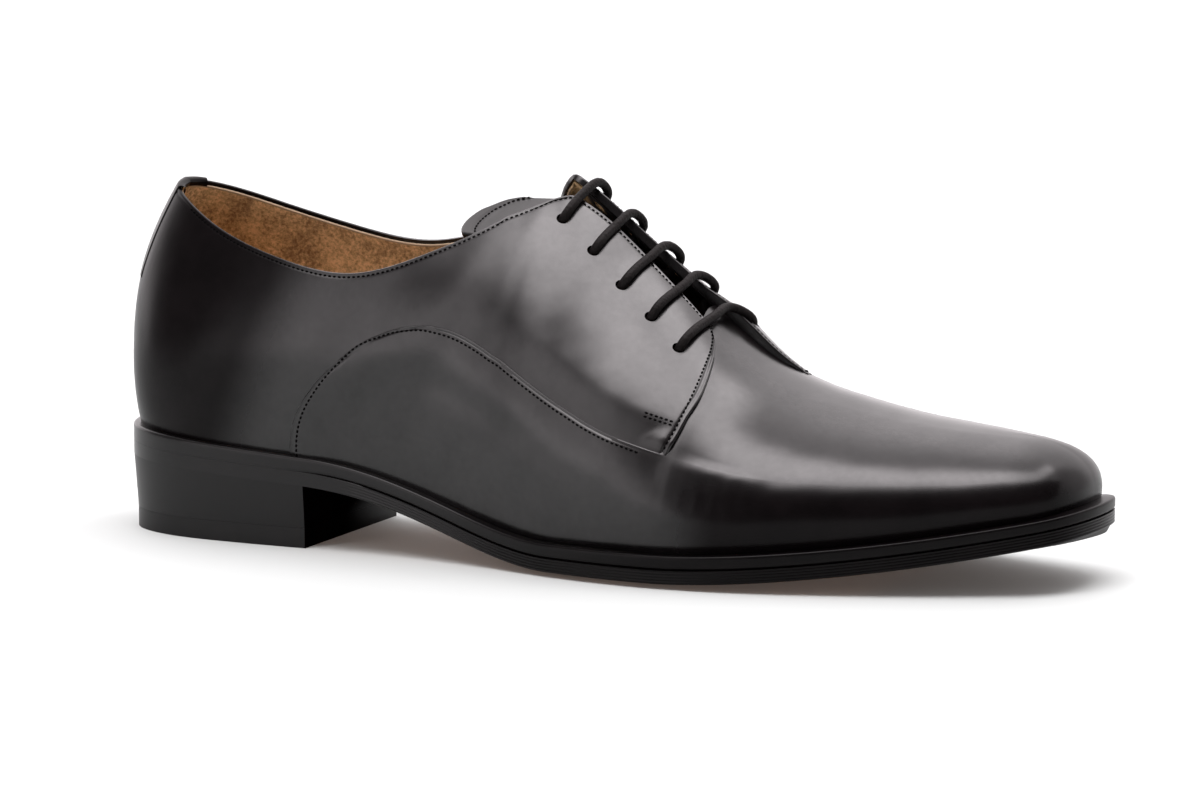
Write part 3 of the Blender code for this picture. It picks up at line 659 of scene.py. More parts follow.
def eased(rows):
    """Rounds the line where the sections change over from the topline to the crest."""
    near = smooth((EASE_REACH - np.abs(PLACES - 1.0)) / EASE_FADE)[:, None, None]
    columns = []
    for column, rounds in ((slice(0, 3), PULL_ROUNDS), (slice(3, 4), TOP_ROUNDS)):
        soft = rows[:, column]
        for _ in range(rounds):
            soft = np.concatenate([soft[:1], (soft[:-2] + 2.0 * soft[1:-1] + soft[2:]) / 4.0, soft[-1:]])
        columns.append(rows[:, column] + (soft - rows[:, column]) * near)
    return np.concatenate(columns, 1)


SECTIONS = {side: eased(all_sections(side)) for side in SIDES}
print("sections", len(PLACES), "a side")

# %% [markdown]
# Two numbers name any point of the last: the place round the shoe and the share of the way up the section.
# Every panel is cut from this one surface, so that neighbours lie on each other without gaps,
# which panels modelled one by one would not.

# %% Surface of the last
PROBE = 0.006
TOP_SHARE = 0.985


def surface(side, place, share):
    """Points of the last's surface: place around the shoe, share of the way up the section."""
    rows = SECTIONS[side]
    spot = np.clip(place, 0.0, 3.0) * (len(PLACES) - 1) / 3.0
    i = np.minimum(spot.astype(int), len(PLACES) - 2)
    t = (spot - i)[..., None, None]
    before = rows[np.maximum(i - 1, 0)]
    after = rows[np.minimum(i + 2, len(PLACES) - 1)]
    controls = hermite(t, rows[i], rows[i + 1], (rows[i + 1] - before) / 2.0, (after - rows[i]) / 2.0)
    s = np.asarray(share)[..., None]
    r = 1.0 - s
    ends = controls[..., 0, :] * r ** 3 + controls[..., 3, :] * s ** 3
    return ends + 3.0 * (controls[..., 1, :] * r + controls[..., 2, :] * s) * r * s


def facing_out(side, place, share):
    """The outward direction of the surface, from points close by on all sides."""
    share = np.minimum(share, TOP_SHARE)
    along = surface(side, place + PROBE, share) - surface(side, place - PROBE, share)
    upward = surface(side, place, share + PROBE) - surface(side, place, np.maximum(share - PROBE, 0.0))
    return unit(np.cross(along, upward)) * -side


def skin(side, place, share):
    """Points of the last and their outward directions, shared where its two halves meet."""
    place, share = np.broadcast_arrays(np.asarray(place, float), np.asarray(share, float))
    normal = facing_out(side, place, share)
    shared = unit(normal + facing_out(-side, place, share))
    seat = (place <= 0.0) | (place >= 3.0) | ((share >= 1.0) & (place >= 2.0))
    return surface(side, place, share), np.where(seat[..., None], shared, normal)


def share_at_offset(side, place, offset):
    """How far up a section comes within a distance of the crest, or 1 where it never does."""
    place, offset = np.broadcast_arrays(np.asarray(place, float), np.asarray(offset, float))
    low = np.full(place.shape, 0.2)
    high = np.ones(place.shape)
    for _ in range(40):
        middle = (low + high) / 2.0
        outside = side * (surface(side, place, middle)[..., 1] - CREST_Y) > offset
        low = np.where(outside, middle, low)
        high = np.where(outside, high, middle)
    top = side * (surface(side, place, np.ones(place.shape))[..., 1] - CREST_Y)
    return np.where(top >= offset, 1.0, low)


print("ball", surface(LATERAL, np.array(2.0), np.array(0.2)).round(1), "mm on the lateral side")

# %% [markdown]
# A leather panel is a sheet with two faces and a cut edge. It starts as a flat grid that is mapped
# onto the last, and extruding the grid gives the second face and the edge in one step.
# A number on each vertex remembers its place in the grid, so that both faces can then be set.

# %% Pieces from grids
# Added to a point of the last, it gives the same point in the part's frame
SHIFT = np.array([-152.3146, 1.8594, 0.0])
SHARP = 40.0


def keep(bm, name, material, nodes, sharp=SHARP):
    """A finished piece from a bmesh: shaded, named, riding on the shoe and standing for solids."""
    mesh = bpy.data.meshes.new(name)
    bm.to_mesh(mesh)
    bm.free()
    mesh.shade_smooth()
    mesh.set_sharp_from_angle(angle=np.radians(sharp))
    mesh.materials.append(material)
    item = bpy.data.objects.new(name, mesh)
    bpy.context.collection.objects.link(item)
    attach(item, "root")
    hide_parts(*nodes)
    return item


def in_part(points):
    """Points of the last in the part's frame, in metres."""
    return (np.asarray(points) + SHIFT) * MM


def add_grid(bm, shape, start):
    """A flat grid whose vertices carry their number, counted from start."""
    cols, rows = shape
    layer = bm.verts.layers.int.get("number") or bm.verts.layers.int.new("number")
    made = bmesh.ops.create_grid(bm, x_segments=cols - 1, y_segments=rows - 1, size=1.0)["verts"]
    for vert in made:
        i = round((vert.co.x + 1.0) / 2.0 * (cols - 1))
        k = round((vert.co.y + 1.0) / 2.0 * (rows - 1))
        vert[layer] = start + i * rows + k
    return made


def sheets(grids):
    """A bmesh of grids mapped onto arrays of points, joined where their vertices meet."""
    bm = bmesh.new()
    start = 0
    for grid in grids:
        add_grid(bm, grid.shape[:2], start)
        start += grid.shape[0] * grid.shape[1]
    points = in_part(np.vstack([grid.reshape(-1, 3) for grid in grids]))
    layer = bm.verts.layers.int["number"]
    for vert in bm.verts:
        vert.co = points[vert[layer]]
    bmesh.ops.remove_doubles(bm, verts=bm.verts[:], dist=2e-6)
    return bm, layer


def slab(name, outer, inner, material, slot, nodes, sharp=SHARP, **painted):
    """A panel between two lists of grids. What is painted on it are numbers for each vertex, by name."""
    bm, layer = sheets(outer)
    made = bmesh.ops.extrude_face_region(bm, geom=bm.faces[:])["geom"]
    lifted = {item for item in made if isinstance(item, bmesh.types.BMVert)}
    below = in_part(np.vstack([grid.reshape(-1, 3) for grid in inner]))
    for vert in bm.verts:
        if vert not in lifted:
            vert.co = below[vert[layer]]
    for mark_name, grids in painted.items():
        mark = bm.verts.layers.float.new(mark_name)
        values = np.concatenate([grid.reshape(-1) for grid in grids])
        for vert in bm.verts:
            vert[mark] = values[vert[layer]]
    bmesh.ops.recalc_face_normals(bm, faces=bm.faces[:])
    return keep(bm, name, material, nodes, sharp)


def shell(name, grid, material, nodes, sharp=SHARP):
    """A closed piece from one grid whose borders meet each other."""
    bm = sheets([grid])[0]
    bmesh.ops.recalc_face_normals(bm, faces=bm.faces[:])
    return keep(bm, name, material, nodes, sharp)


def joined(lateral, medial, axis):
    """One grid from the grids of both sides, which share their first row or column."""
    rest = medial[1:] if axis == 0 else medial[:, 1:]
    return np.concatenate([np.flip(lateral, axis), rest], axis)


print("heel's back at", in_part((0.0, 0.0, 0.0)).round(4), "m")

# %% [markdown]
# Cut leather has a thin rounded edge, and a row of stitches pulls a shallow groove beside it.
# A bevel could round the edge, but the groove and the stitches need mesh rows at set distances from it,
# so each panel is graded: its rows lie close together at the rim and are even further in.

# %% Edges and panels


def offset(points, normals, distance):
    return points + normals * np.asarray(distance)[..., None]


def measured(points, axis):
    """Lengths along the rows or columns of a grid, from their first point."""
    steps = np.linalg.norm(np.diff(points, axis=axis), axis=-1)
    return np.insert(np.cumsum(steps, axis=axis), 0, 0.0, axis=axis)


RIM = np.array([0.0, 0.06, 0.18, 0.36, 0.6, 0.95, 1.35, 1.65, 2.0, 2.35, 2.7, 3.3, 4.4, 6.2])
TOP_ROW = 6
FRONT_ROW = 7
WING_ROW = 8
EDGE_RADIUS = 0.5
GROOVE = 0.2
BROAD_WAVE = 0.032
FINE_WAVE = 0.010


def roll(distance, radius=EDGE_RADIUS):
    """How far a rounded cut edge falls away, by the distance from it."""
    rest = np.clip(radius - distance, 0.0, radius)
    return radius - np.sqrt(radius ** 2 - rest ** 2)


def groove(distance, row, width=0.4):
    """A shallow channel along an edge, at the distance of one row of RIM."""
    return GROOVE * np.exp(-((distance - RIM[row]) / width) ** 2)


def uneven(points):
    """The slight waves of a hide that was pulled over the last by hand."""
    x, y, z = np.moveaxis(points, -1, 0)
    broad = np.sin(0.27 * x + 0.19 * z + 0.6) * np.sin(0.23 * z - 0.16 * x + 0.11 * y + 1.9)
    fine = np.sin(0.61 * x - 0.35 * z + 2.2) * np.sin(0.55 * z + 0.31 * x + 0.4)
    return BROAD_WAVE * broad + FINE_WAVE * fine


def graded(points, count):
    """Shares down each column, close together at its top edge, at the distances of RIM and then even."""
    run = measured(points, 1)
    dense = np.linspace(0.0, 1.0, points.shape[1])
    rows = []
    for lengths in run:
        wanted = np.concatenate([RIM, np.linspace(RIM[-1], lengths[-1], count + 1)[1:]])
        rows.append(np.interp(wanted, lengths, dense))
    return np.array(rows)


def panel(side, base, top, low, count, edge=None, weight=0.0):
    """Places and shares over a panel, in columns from its top edge down. The edge bends the end columns."""
    base, top, low = (np.asarray(v, float)[:, None] for v in (base, top, low))
    weight = np.broadcast_to(weight, base[:, 0].shape)[:, None]

    def spread(down):
        share = top + (low - top) * down
        bend = edge(1.0 - down) if edge else 0.0
        return base + weight * bend, share + 0.0 * base

    place, share = spread(np.broadcast_to(np.linspace(0.0, 1.0, 240), (len(base), 240)))
    return spread(graded(surface(side, place + 0.0 * share, share), count))


print("rim rows", len(RIM), "stitches", RIM[TOP_ROW], "to", RIM[WING_ROW], "mm from an edge")

# %% [markdown]
# A shoemaker marks the seams on the last before cutting the patterns, and the same is done here.
# Three lines part the panels: the opening between the facings, the seam of the vamp's wing,
# and the front edge of the facings. They are tables on the last, so they can be moved row by row.

# %% Seams
FACING_STEP = 1.4
FACING_FROM = 0.7
FACING_RUN = 0.6
FACING_FOOT_RUN = 0.12
OPENING = (
    # place, lateral and medial distance of the facing's edge from the crest
    (0.84, 19.0, 0.0),
    (0.905, 15.6, 0.2),
    (0.968, 12.8, 2.4),
    (1.03, 9.6, 1.2),
    (1.08, 7.0, 0.5),
    (1.14, 6.2, 0.5),
    (1.3, 5.7, 0.6),
    (1.44, 6.1, 0.8),
    (1.57, 7.2, 1.0),
    (1.66, 8.4, 1.2),
    (1.75, 9.7, 1.4),
    (1.84, 11.1, 1.6),
    (1.9, 12.3, 1.8),
    (1.96, 14.9, 2.1),
    (2.0, 18.6, 2.4),
    (2.1, 20.0, 3.6),
    (2.15, 20.0, 5.5),
)
seam = table((
    # place, share
    (0.0, 0.44),
    (0.58, 0.442),
    (0.603, 0.554),
    (0.638, 0.616),
    (0.683, 0.634),
    (0.737, 0.620),
    (0.792, 0.582),
    (0.861, 0.527),
    (0.908, 0.490),
    (0.956, 0.456),
    (1.0, 0.432),
    (1.05, 0.422),
    (1.1, 0.416),
    (1.185, 0.409),
    (1.271, 0.402),
    (1.433, 0.388),
    (1.571, 0.372),
    (1.7, 0.363),
    (2.0, 0.361),
    (3.0, 0.36),
))
opening = table(OPENING)
# Share of the way up the front edge, place
front_edge = {
    LATERAL: table(((0.0, 1.942), (0.33, 1.996), (0.58, 2.009), (0.82, 2.004), (0.93, 1.988), (1.0, 1.955))),
    MEDIAL: table(((0.0, 1.942), (0.33, 2.01), (0.58, 2.06), (0.82, 2.12), (0.93, 2.145), (1.0, 2.15))),
}


def facing_edge(side, place):
    """How far up the facing's edge lies, or the topline behind it."""
    found = share_at_offset(side, place, opening(place)[..., 0 if side == LATERAL else 1])
    return np.where(place < OPENING[0][0], 1.0, found)


def facing_rise(place, share):
    """How far the facing stands off the last, over its lining and the tongue."""
    ramp = smooth((place - FACING_FROM) / FACING_RUN) * smooth((share - seam(place)) / FACING_FOOT_RUN)
    return FACING_STEP * ramp


print("wing seam up to share", round(float(seam(np.linspace(0.6, 0.9, 61)).max()), 3))

# %% [markdown]
# The quarters are the two rear panels, with the facings that carry the eyelets.
# Their lower edge runs under the vamp's wing, and their front edge laps over the vamp.
# They could be two pieces sewn up the back, but that seam is covered, so both sides are joined as one slab.

# %% Quarters
CALF = 1.1
CORNER_PLACE = {LATERAL: 1.955, MEDIAL: 2.15}
COLUMN_RATE = {LATERAL: 62.0, MEDIAL: 150.0}
QUARTER_COLUMNS = 118
QUARTER_ROWS = 40
UNDERLAP = 0.06
UNDERLAP_FROM = 0.60
BEND_FROM = 1.5
LAP_RISE = 1.25
LAP_WIDTH = 12.0
FAR_RISE = 1.5
FAR_TAPER = 22.0
THIN_EDGE = 0.35

quarter_parts = {}
for side in SIDES:
    corner = CORNER_PLACE[side]
    rim = corner - RIM[::-1] / COLUMN_RATE[side]
    base = np.concatenate([np.linspace(0.0, rim[0], QUARTER_COLUMNS), rim[1:]])
    rise_low = smooth((base - UNDERLAP_FROM) / 0.08)
    low = np.maximum(seam(base) - UNDERLAP, 0.0) * rise_low
    weight = smooth((base - BEND_FROM) / (corner - BEND_FROM))
    place, share = panel(side, base, facing_edge(side, base), low, QUARTER_ROWS,
                         lambda up: front_edge[side](up) - corner, weight)
    points, normals = skin(side, place, share)
    from_top = measured(points, 1)
    from_front = measured(points[::-1], 0)[::-1]
    front_lap = smooth((LAP_WIDTH - from_front) / 9.0)
    rise = np.maximum(facing_rise(place, share),
                      front_lap * smooth((share - seam(place)) / 0.04) * LAP_RISE)
    if side == MEDIAL:
        rise = rise + FAR_RISE * smooth((place - 1.75) / 0.2) * smooth((share - 0.7) / 0.25)
        rise = rise * np.minimum(from_front / FAR_TAPER, 1.0) ** 0.8
    outer = rise - roll(np.minimum(from_top, from_front)) + uneven(points)
    outer = outer - groove(from_top, TOP_ROW) - groove(from_front, FRONT_ROW)
    inner = -CALF + (CALF + 0.04) * smooth((10.0 - from_front) / 5.0)
    inner = np.minimum(inner, outer - THIN_EDGE)
    quarter_parts[side] = {
        "outer": offset(points, normals, outer),
        "inner": offset(points, normals, inner),
        "normal": normals,
    }
quarter_faces = [joined(*(quarter_parts[side][key] for side in SIDES), 0) for key in ("outer", "inner")]
quarters = slab("quarters", quarter_faces[:1], quarter_faces[1:], upper_calf, "upper_leather", ["upper"])
print("quarters", len(quarters.data.polygons), "faces")

# %% [markdown]
# The vamp's wing runs back along each side, over the quarter. Its edge is skived thin and rounded,
# which is what catches the light along the seam. A loose strip laid along the seam could give that line,
# but here the panel itself rises to its edge, so its mesh shows the step from every side.

# %% Edge of the wing
VAMP = 1.0
WING_STEP = 1.0
WING_ROOT = 0.55
WING_FADE_FROM = 4.0
WING_FADE = 14.0
WING_GROOVE_ROW = 5
WING_GROOVE_WIDTH = 0.3
SEAM_TIP = 1.97
SEAM_TIP_RUN = 0.35


def from_outline(points, outline):
    """Distance of each point of a grid from a line of points."""
    start = outline[:-1]
    run = np.diff(outline, axis=0)
    apart = points[..., None, :] - start
    along = np.clip((apart * run).sum(-1) / np.maximum((run * run).sum(-1), 1e-9), 0.0, 1.0)
    return np.linalg.norm(apart - along[..., None] * run, axis=-1).min(-1)


def vamp_rise(place, share, nearest):
    """Offsets of the outer and inner face of the vamp and its wing, by the distance from its edge."""
    ends = smooth((SEAM_TIP - place) / SEAM_TIP_RUN) * (share <= seam(place) + 1e-6)
    full = WING_STEP * (WING_ROOT + (1.0 - WING_ROOT) * smooth(share / (0.5 * seam(place))))
    full = full * (1.0 - smooth((nearest - WING_FADE_FROM) / WING_FADE))
    channel = groove(nearest, WING_GROOVE_ROW, WING_GROOVE_WIDTH)
    outer = ends * (full - 2.0 * full * roll(nearest) - channel)
    inner = -VAMP + ends * 1.03 * smooth((8.0 - nearest) / 3.0)
    return outer, np.minimum(inner, outer - 0.12)


print("wing stands up to", WING_STEP, "mm off the quarter")

# %% [markdown]
# Where the foot bends, the leather takes soft folds: a shallow trough with a low ridge on either side.
# Cloth simulation could make folds, but not the ones of this shoe, so each is placed one by one.
# The last row is a broad ridge, where the vamp is pulled tight below the facing.

# %% Creases
CREASES = (
    # place and share at the start, place and share at the end, depth or height below zero, width
    (2.052, 0.29, 2.050, 0.16, 0.09, 1.3),
    (2.079, 0.34, 2.087, 0.15, 0.14, 1.5),
    (2.105, 0.37, 2.118, 0.13, 0.15, 1.6),
    (2.136, 0.35, 2.148, 0.17, 0.10, 1.5),
    (1.930, 0.315, 2.200, 0.338, -0.50, 4.0),
)


def creased(points):
    """Faint folds where the forefoot bends: a soft trough with a lower ridge on either side."""
    total = np.zeros(points.shape[:-1])
    for first_place, first_share, last_place, last_share, depth, width in CREASES:
        start = skin(LATERAL, first_place, first_share)[0]
        run = skin(LATERAL, last_place, last_share)[0] - start
        t = np.clip((points - start) @ run / (run @ run), 0.0, 1.0)
        apart = np.linalg.norm(points - start - t[..., None] * run, axis=-1)
        trough = np.exp(-(apart / width) ** 2) - 0.5 * np.exp(-((apart - 2.0 * width) / width) ** 2)
        total -= depth * trough * np.sin(np.pi * t)
    return total


print("creases", len(CREASES))

# %% [markdown]
# The vamp covers the toe and carries both wings. It is cut as one piece of leather,
# so it is built as three grids, two wings and the forefoot, that are joined where they meet.
# One grid could not turn the corner of the wing without thin, twisted faces.

# %% Vamp
WING_CORNER = 0.603
WING_END = 1.84
WING_RATE = 125.0
WING_BEND_TO = 0.9
THROAT_CUT = 0.042
THROAT_CUT_TO = 2.3
TOE_DENSE_FROM = 2.5
LOW_ROWS = 22
HIGH_ROWS = 30
CREST_SPAN = 6
CREST_ROUNDS = 14
# Share of the way up the rear edge, place
rear_edge = table(((0.0, 0.556), (0.18, 0.557), (0.38, 0.559), (0.59, 0.566), (0.8, 0.579), (1.0, 0.603)))

wing_rim = WING_CORNER + RIM / WING_RATE
wing_base = np.concatenate([wing_rim, np.linspace(wing_rim[-1], WING_END, 92)[1:]])
toe_base = np.linspace(TOE_DENSE_FROM, 3.0, 72)
fore_base = np.concatenate([np.linspace(WING_END, TOE_DENSE_FROM, 58), toe_base[1:]])

vamp_outer = []
vamp_inner = []
wing_parts = {}
fore_halves = {}
for side in SIDES:
    weight = smooth((WING_BEND_TO - wing_base) / (WING_BEND_TO - WING_CORNER))
    place, share = panel(side, wing_base, seam(wing_base), 0.0 * wing_base, LOW_ROWS,
                         lambda up: rear_edge(up) - WING_CORNER, weight)
    points, normals = skin(side, place, share)
    nearest = from_outline(points, np.concatenate([points[0, ::-1], points[1:, 0]]))
    outer, inner = vamp_rise(place, share, nearest)
    outer = outer + uneven(points) + creased(points)
    wing_parts[side] = {"outer": offset(points, normals, outer), "normal": normals}
    vamp_outer.append(wing_parts[side]["outer"])
    vamp_inner.append(offset(points, normals, inner))
    place, share = panel(side, fore_base, seam(fore_base), 0.0 * fore_base, LOW_ROWS)
    points, normals = skin(side, place, share)
    outer, inner = vamp_rise(place, share, measured(points, 1))
    outer = outer + uneven(points) + creased(points)
    high = np.linspace(1.0, 0.0, HIGH_ROWS + 1)[:-1]
    high_share = seam(fore_base)[:, None] + (1.0 - seam(fore_base)[:, None]) * high
    cut_run = smooth((THROAT_CUT_TO - fore_base) / (THROAT_CUT_TO - WING_END))
    cut = THROAT_CUT * cut_run[:, None] * smooth((high - 0.4) / 0.4)
    high_points, high_normals = skin(side, fore_base[:, None] + cut, high_share)
    high_outer = offset(high_points, high_normals, uneven(high_points))
    high_inner = offset(high_points, high_normals, np.full(high_share.shape, -VAMP))
    fore_halves[side] = (
        np.concatenate([high_outer, offset(points, normals, outer)], 1),
        np.concatenate([high_inner, offset(points, normals, inner)], 1),
    )


def soften_crest(grid, middle, columns):
    """Rounds the line where the two halves of the vamp meet."""
    low, high = middle - CREST_SPAN, middle + CREST_SPAN + 1
    for _ in range(CREST_ROUNDS):
        mean = (grid[columns, low - 1:high - 1] + grid[columns, low + 1:high + 1]) / 2.0
        grid[columns, low:high] += 0.5 * (mean - grid[columns, low:high])
    return grid


for k, target in ((0, vamp_outer), (1, vamp_inner)):
    whole = joined(fore_halves[LATERAL][k], fore_halves[MEDIAL][k], 1)
    target.append(soften_crest(whole, fore_halves[LATERAL][k].shape[1] - 1, slice(0, len(fore_base) - 1)))
vamp = slab("vamp", vamp_outer, vamp_inner, upper_calf, "upper_leather", ["upper"])
print("vamp", len(vamp.data.polygons), "faces")

# %% [markdown]
# The lining follows the inside of the quarters and stops a little short of their edge,
# where its raw pale edge shows as a thin line round the collar. Inside the facings it stops lower,
# and painted shade turns it black there. A second lining goes on under the vamp, up to the toe.
# The quarters' inner face could be painted tan, but a lining of its own shows both layers at the edge.

# %% Lining
LINING = (-1.95, -1.15)
LINING_LIFT = {LATERAL: -0.3, MEDIAL: -1.1}
LINING_END = 1.985
LINING_ROLL = 0.25
FACING_RECESS = 3.0
PAINTED_SHADE_FROM = 1.06

lining_base = np.linspace(0.0, LINING_END, 110)
lining_grids = {}
for side in SIDES:
    place, share = panel(side, lining_base, facing_edge(side, lining_base), 0.0 * lining_base, 24)
    points, normals = skin(side, place, share)
    from_top = measured(points, 1)
    upward = unit(points[:, :1] - points[:, 4:5])
    lift = LINING_LIFT[side] - (FACING_RECESS + LINING_LIFT[side]) * smooth((place - 1.0) / 0.12)
    lifted = points + upward * (lift * smooth((5.0 - from_top) / 5.0))[..., None]
    lining_grids[side] = (
        offset(lifted, normals, LINING[1] - roll(from_top, LINING_ROLL)),
        offset(lifted, normals, LINING[0] + roll(from_top, LINING_ROLL)),
        (1.0 - smooth((from_top - 0.5) / 0.5)) * (1.0 - smooth((place - 0.95) / 0.05)),
        # Painted shade: the lining is marked black inside the facings, where shade falls
        smooth((place - PAINTED_SHADE_FROM) / 0.04) + 0.0 * from_top,
    )
lining_pairs = zip(*(lining_grids[side] for side in SIDES))
lining_outer, lining_inner, pale, black = (joined(*pair, 0) for pair in lining_pairs)
lining = slab("lining", [lining_outer], [lining_inner], lining_tan, "lining_leather", ["upper"],
              edge=[pale], blacked=[black])

VAMP_LINING = (-1.75, -1.05)
VAMP_LINING_FROM = 1.93
vamp_lining_base = np.linspace(VAMP_LINING_FROM, 3.0, 40)
shares = np.linspace(1.0, 0.0, 22)
vamp_lining_faces = []
for depth in VAMP_LINING[::-1]:
    halves = []
    for side in SIDES:
        points, normals = skin(side, vamp_lining_base[:, None], shares[None, :])
        halves.append(offset(points, normals, np.full(points.shape[:2], depth)))
    vamp_lining_faces.append(joined(*halves, 1))
vamp_lining = slab("vamp_lining", vamp_lining_faces[:1], vamp_lining_faces[1:], lining_tan, "lining_leather",
                   ["upper"])
print("linings", len(lining.data.polygons) + len(vamp_lining.data.polygons), "faces")

# %% [markdown]
# A narrow strip covers the back seam and folds over the collar as a small tab.
# It could be a plain box bent by a modifier, but cut from the last's own surface it hugs the heel.
# It is carried round the topline as one sheet, from the outside to the lining.

# %% Back strip
STRIP_PLACE = 0.06
STRIP_FOOT = 0.60
STRIP_THICK = 0.22
STRIP_LOWER = 0.05
STRIP_DOWN = 1.0
STRIP_WIDTH = 14.0
STRIP_RATE = 70.0
FOLD_RADIUS = 1.2
FOLD_HEIGHT = 0.8

strip_side = np.concatenate([np.linspace(0.0, 1.0, 12)[:-1] * 0.9, 1.0 - RIM[5::-1] / STRIP_WIDTH])
strip_halves = {}
for side in SIDES:
    place = STRIP_PLACE * strip_side[:, None]
    outside = np.concatenate([STRIP_FOOT + RIM[:6] / STRIP_RATE, np.linspace(STRIP_FOOT + 0.02, 1.0, 26)])
    points, normals = skin(side, place, outside[None, :])
    upward = unit(points[:, -1:] - points[:, -3:-2])
    top = points[:, -1:]
    top_normal = normals[:, -1:]
    from_side = (1.0 - strip_side)[:, None] * STRIP_WIDTH
    from_foot = (outside[None, :] - STRIP_FOOT) * STRIP_RATE
    fall = roll(np.minimum(from_side, from_foot), 0.4)
    turns = np.linspace(0.0, np.pi, 9)[1:, None]
    down = np.linspace(0.0, STRIP_DOWN, 6)[1:, None]
    strip_halves[side] = []
    for extra, rounding in ((STRIP_THICK, fall), (STRIP_LOWER, 0.0 * fall)):
        radius = FOLD_RADIUS + extra
        outer = offset(points, normals, extra - rounding)
        across = top_normal * (np.cos(turns) * radius - FOLD_RADIUS)
        arc = top + across + upward * np.sin(turns) * radius * FOLD_HEIGHT
        inside = top + top_normal * (-2.0 * FOLD_RADIUS - extra) - upward * down
        strip_halves[side].append(np.concatenate([outer, arc, inside], 1))
strip_faces = [joined(*pair, 0) for pair in zip(*(strip_halves[side] for side in SIDES))]
back_strip = slab("back_strip", strip_faces[:1], strip_faces[1:], upper_calf, "upper_leather", ["upper"])
print("back strip", len(back_strip.data.polygons), "faces")

# %% [markdown]
# The tongue hangs under the facings, and its free end lies back over the opening of the shoe.
# The end leans to the lateral side, and its far corner is cut round.
# Cloth could be dropped over the last for it, but the end's place is known, so it is drawn by a short table.

# %% Tongue
WALL = 2.0
TONGUE = 2.2
TONGUE_DEPTH = 4.3
TONGUE_FOOT_DEPTH = 0.4
TONGUE_HALF_WIDTH = 22.0
TONGUE_END_WIDTH = {LATERAL: 22.0, MEDIAL: 6.5}
TONGUE_FOOT_PLACE = 2.10
TONGUE_FREE_PLACE = 1.12
TONGUE_RISE_FROM = 1.98
TONGUE_RISE = 0.11
TONGUE_FREE = 30.8
TONGUE_LEAN = 0.42
TONGUE_ROW = 12
TONGUE_FREE_RUN = 13.0
TONGUE_CREST = 9.0
TONGUE_CORNER = 0.33
tongue_curl = table((
    # length, back, up
    (0.0, 0.0, 0.0),
    (8.0, 8.0, -0.6),
    (16.0, 16.0, -1.0),
    (23.0, 23.0, -1.1),
    (TONGUE_FREE, 30.7, -0.9),
))

free_lengths = TONGUE_FREE - RIM[::-1]
free_lengths = np.concatenate([np.linspace(0.0, free_lengths[0], 18)[:-1], free_lengths])
hung_places = np.linspace(TONGUE_FOOT_PLACE, TONGUE_FREE_PLACE, 60)[:-1]
tongue_places = np.concatenate([hung_places, np.full(len(free_lengths), TONGUE_FREE_PLACE)])
curl = np.concatenate([np.zeros((len(hung_places), 2)), tongue_curl(free_lengths)])
free = smooth(curl[:, :1] / TONGUE_FREE_RUN)
rim_reach = 1.0 - RIM[::-1] / TONGUE_HALF_WIDTH
reaches = np.concatenate([np.linspace(0.0, rim_reach[0], 12), rim_reach[1:]])
foot = smooth((tongue_places - TONGUE_RISE_FROM) / TONGUE_RISE)
sunk = WALL + TONGUE_DEPTH + (TONGUE_FOOT_DEPTH - TONGUE_DEPTH) * foot
tongue_halves = {}
for side in SIDES:
    width = TONGUE_HALF_WIDTH + (TONGUE_END_WIDTH[side] - TONGUE_HALF_WIDTH) * free
    share = share_at_offset(side, tongue_places[:, None], width * reaches)
    share[:, 0] = 1.0
    points, normals = skin(side, tongue_places[:, None], share)
    middle = unit(normals[:, :1] * (1.0, 0.0, 1.0))
    normals = unit(middle + (normals - middle) * smooth(width * reaches / TONGUE_CREST)[..., None])
    points = offset(points, normals, -sunk[:, None] + 0.0 * share)
    leant = points[:, :1, 2] + TONGUE_LEAN * (points[..., 1] - points[:, :1, 1])
    points[..., 2] += (leant - points[..., 2]) * free
    normals = unit(normals * (1.0 - free[..., None]) + np.array([0.0, -TONGUE_LEAN, 1.0]) * free[..., None])
    across_end = side * TONGUE_END_WIDTH[side] * reaches
    corner = TONGUE_CORNER * np.clip((across_end + 15.0) / 21.5, 0.0, 1.0) ** 2
    swept = 1.0 - 0.0045 * across_end - corner - 0.12 * (side == LATERAL) * reaches ** 8
    points = points + np.stack([-curl[:, :1] * swept, 0.0 * share, curl[:, 1:] + 0.0 * share], -1)
    tongue_halves[side] = (points, normals)
tongue_points, tongue_normals = (joined(*pair, 1) for pair in zip(*(tongue_halves[side] for side in SIDES)))
across = measured(tongue_points, 1)
from_side = np.minimum(across, across[:, -1:] - across)
from_end = measured(tongue_points[::-1], 0)[::-1]
fall = roll(np.minimum(from_side, from_end), 0.7)
tongue_face = offset(tongue_points, tongue_normals, -fall - groove(from_end, TONGUE_ROW))
tongue = slab("tongue", [tongue_face], [offset(tongue_points, tongue_normals, fall - TONGUE)], tongue_calf,
              "tongue_leather", ["tongue"])
print("tongue", len(tongue.data.polygons), "faces")

# %% [markdown]
# The eyelets are plain punched holes, five a side. Dark discs could stand for them,
# but a hole that is really cut shows its wall. Cylinders take the place of the punch,
# cut the leather and the lining, and are then taken away.

# %% Eyelets
EYELET_RADIUS = 1.9
PUNCH_DEPTH = 12.0
EYELETS = np.array([
    # lateral place, lateral distance from the crest, medial place, medial distance
    (1.083, 15.2, 1.160, 5.6),
    (1.280, 17.7, 1.374, 5.9),
    (1.472, 20.7, 1.600, 6.3),
    (1.658, 23.7, 1.800, 6.8),
    (1.833, 27.2, 2.010, 7.8),
])
EYELET_COUNT = len(EYELETS)

eyelets = {}
for side, columns in ((LATERAL, EYELETS[:, :2]), (MEDIAL, EYELETS[:, 2:])):
    share = share_at_offset(side, columns[:, 0], columns[:, 1])
    points, normals = skin(side, columns[:, 0], share)
    eyelets[side] = (points, normals, facing_rise(columns[:, 0], share))

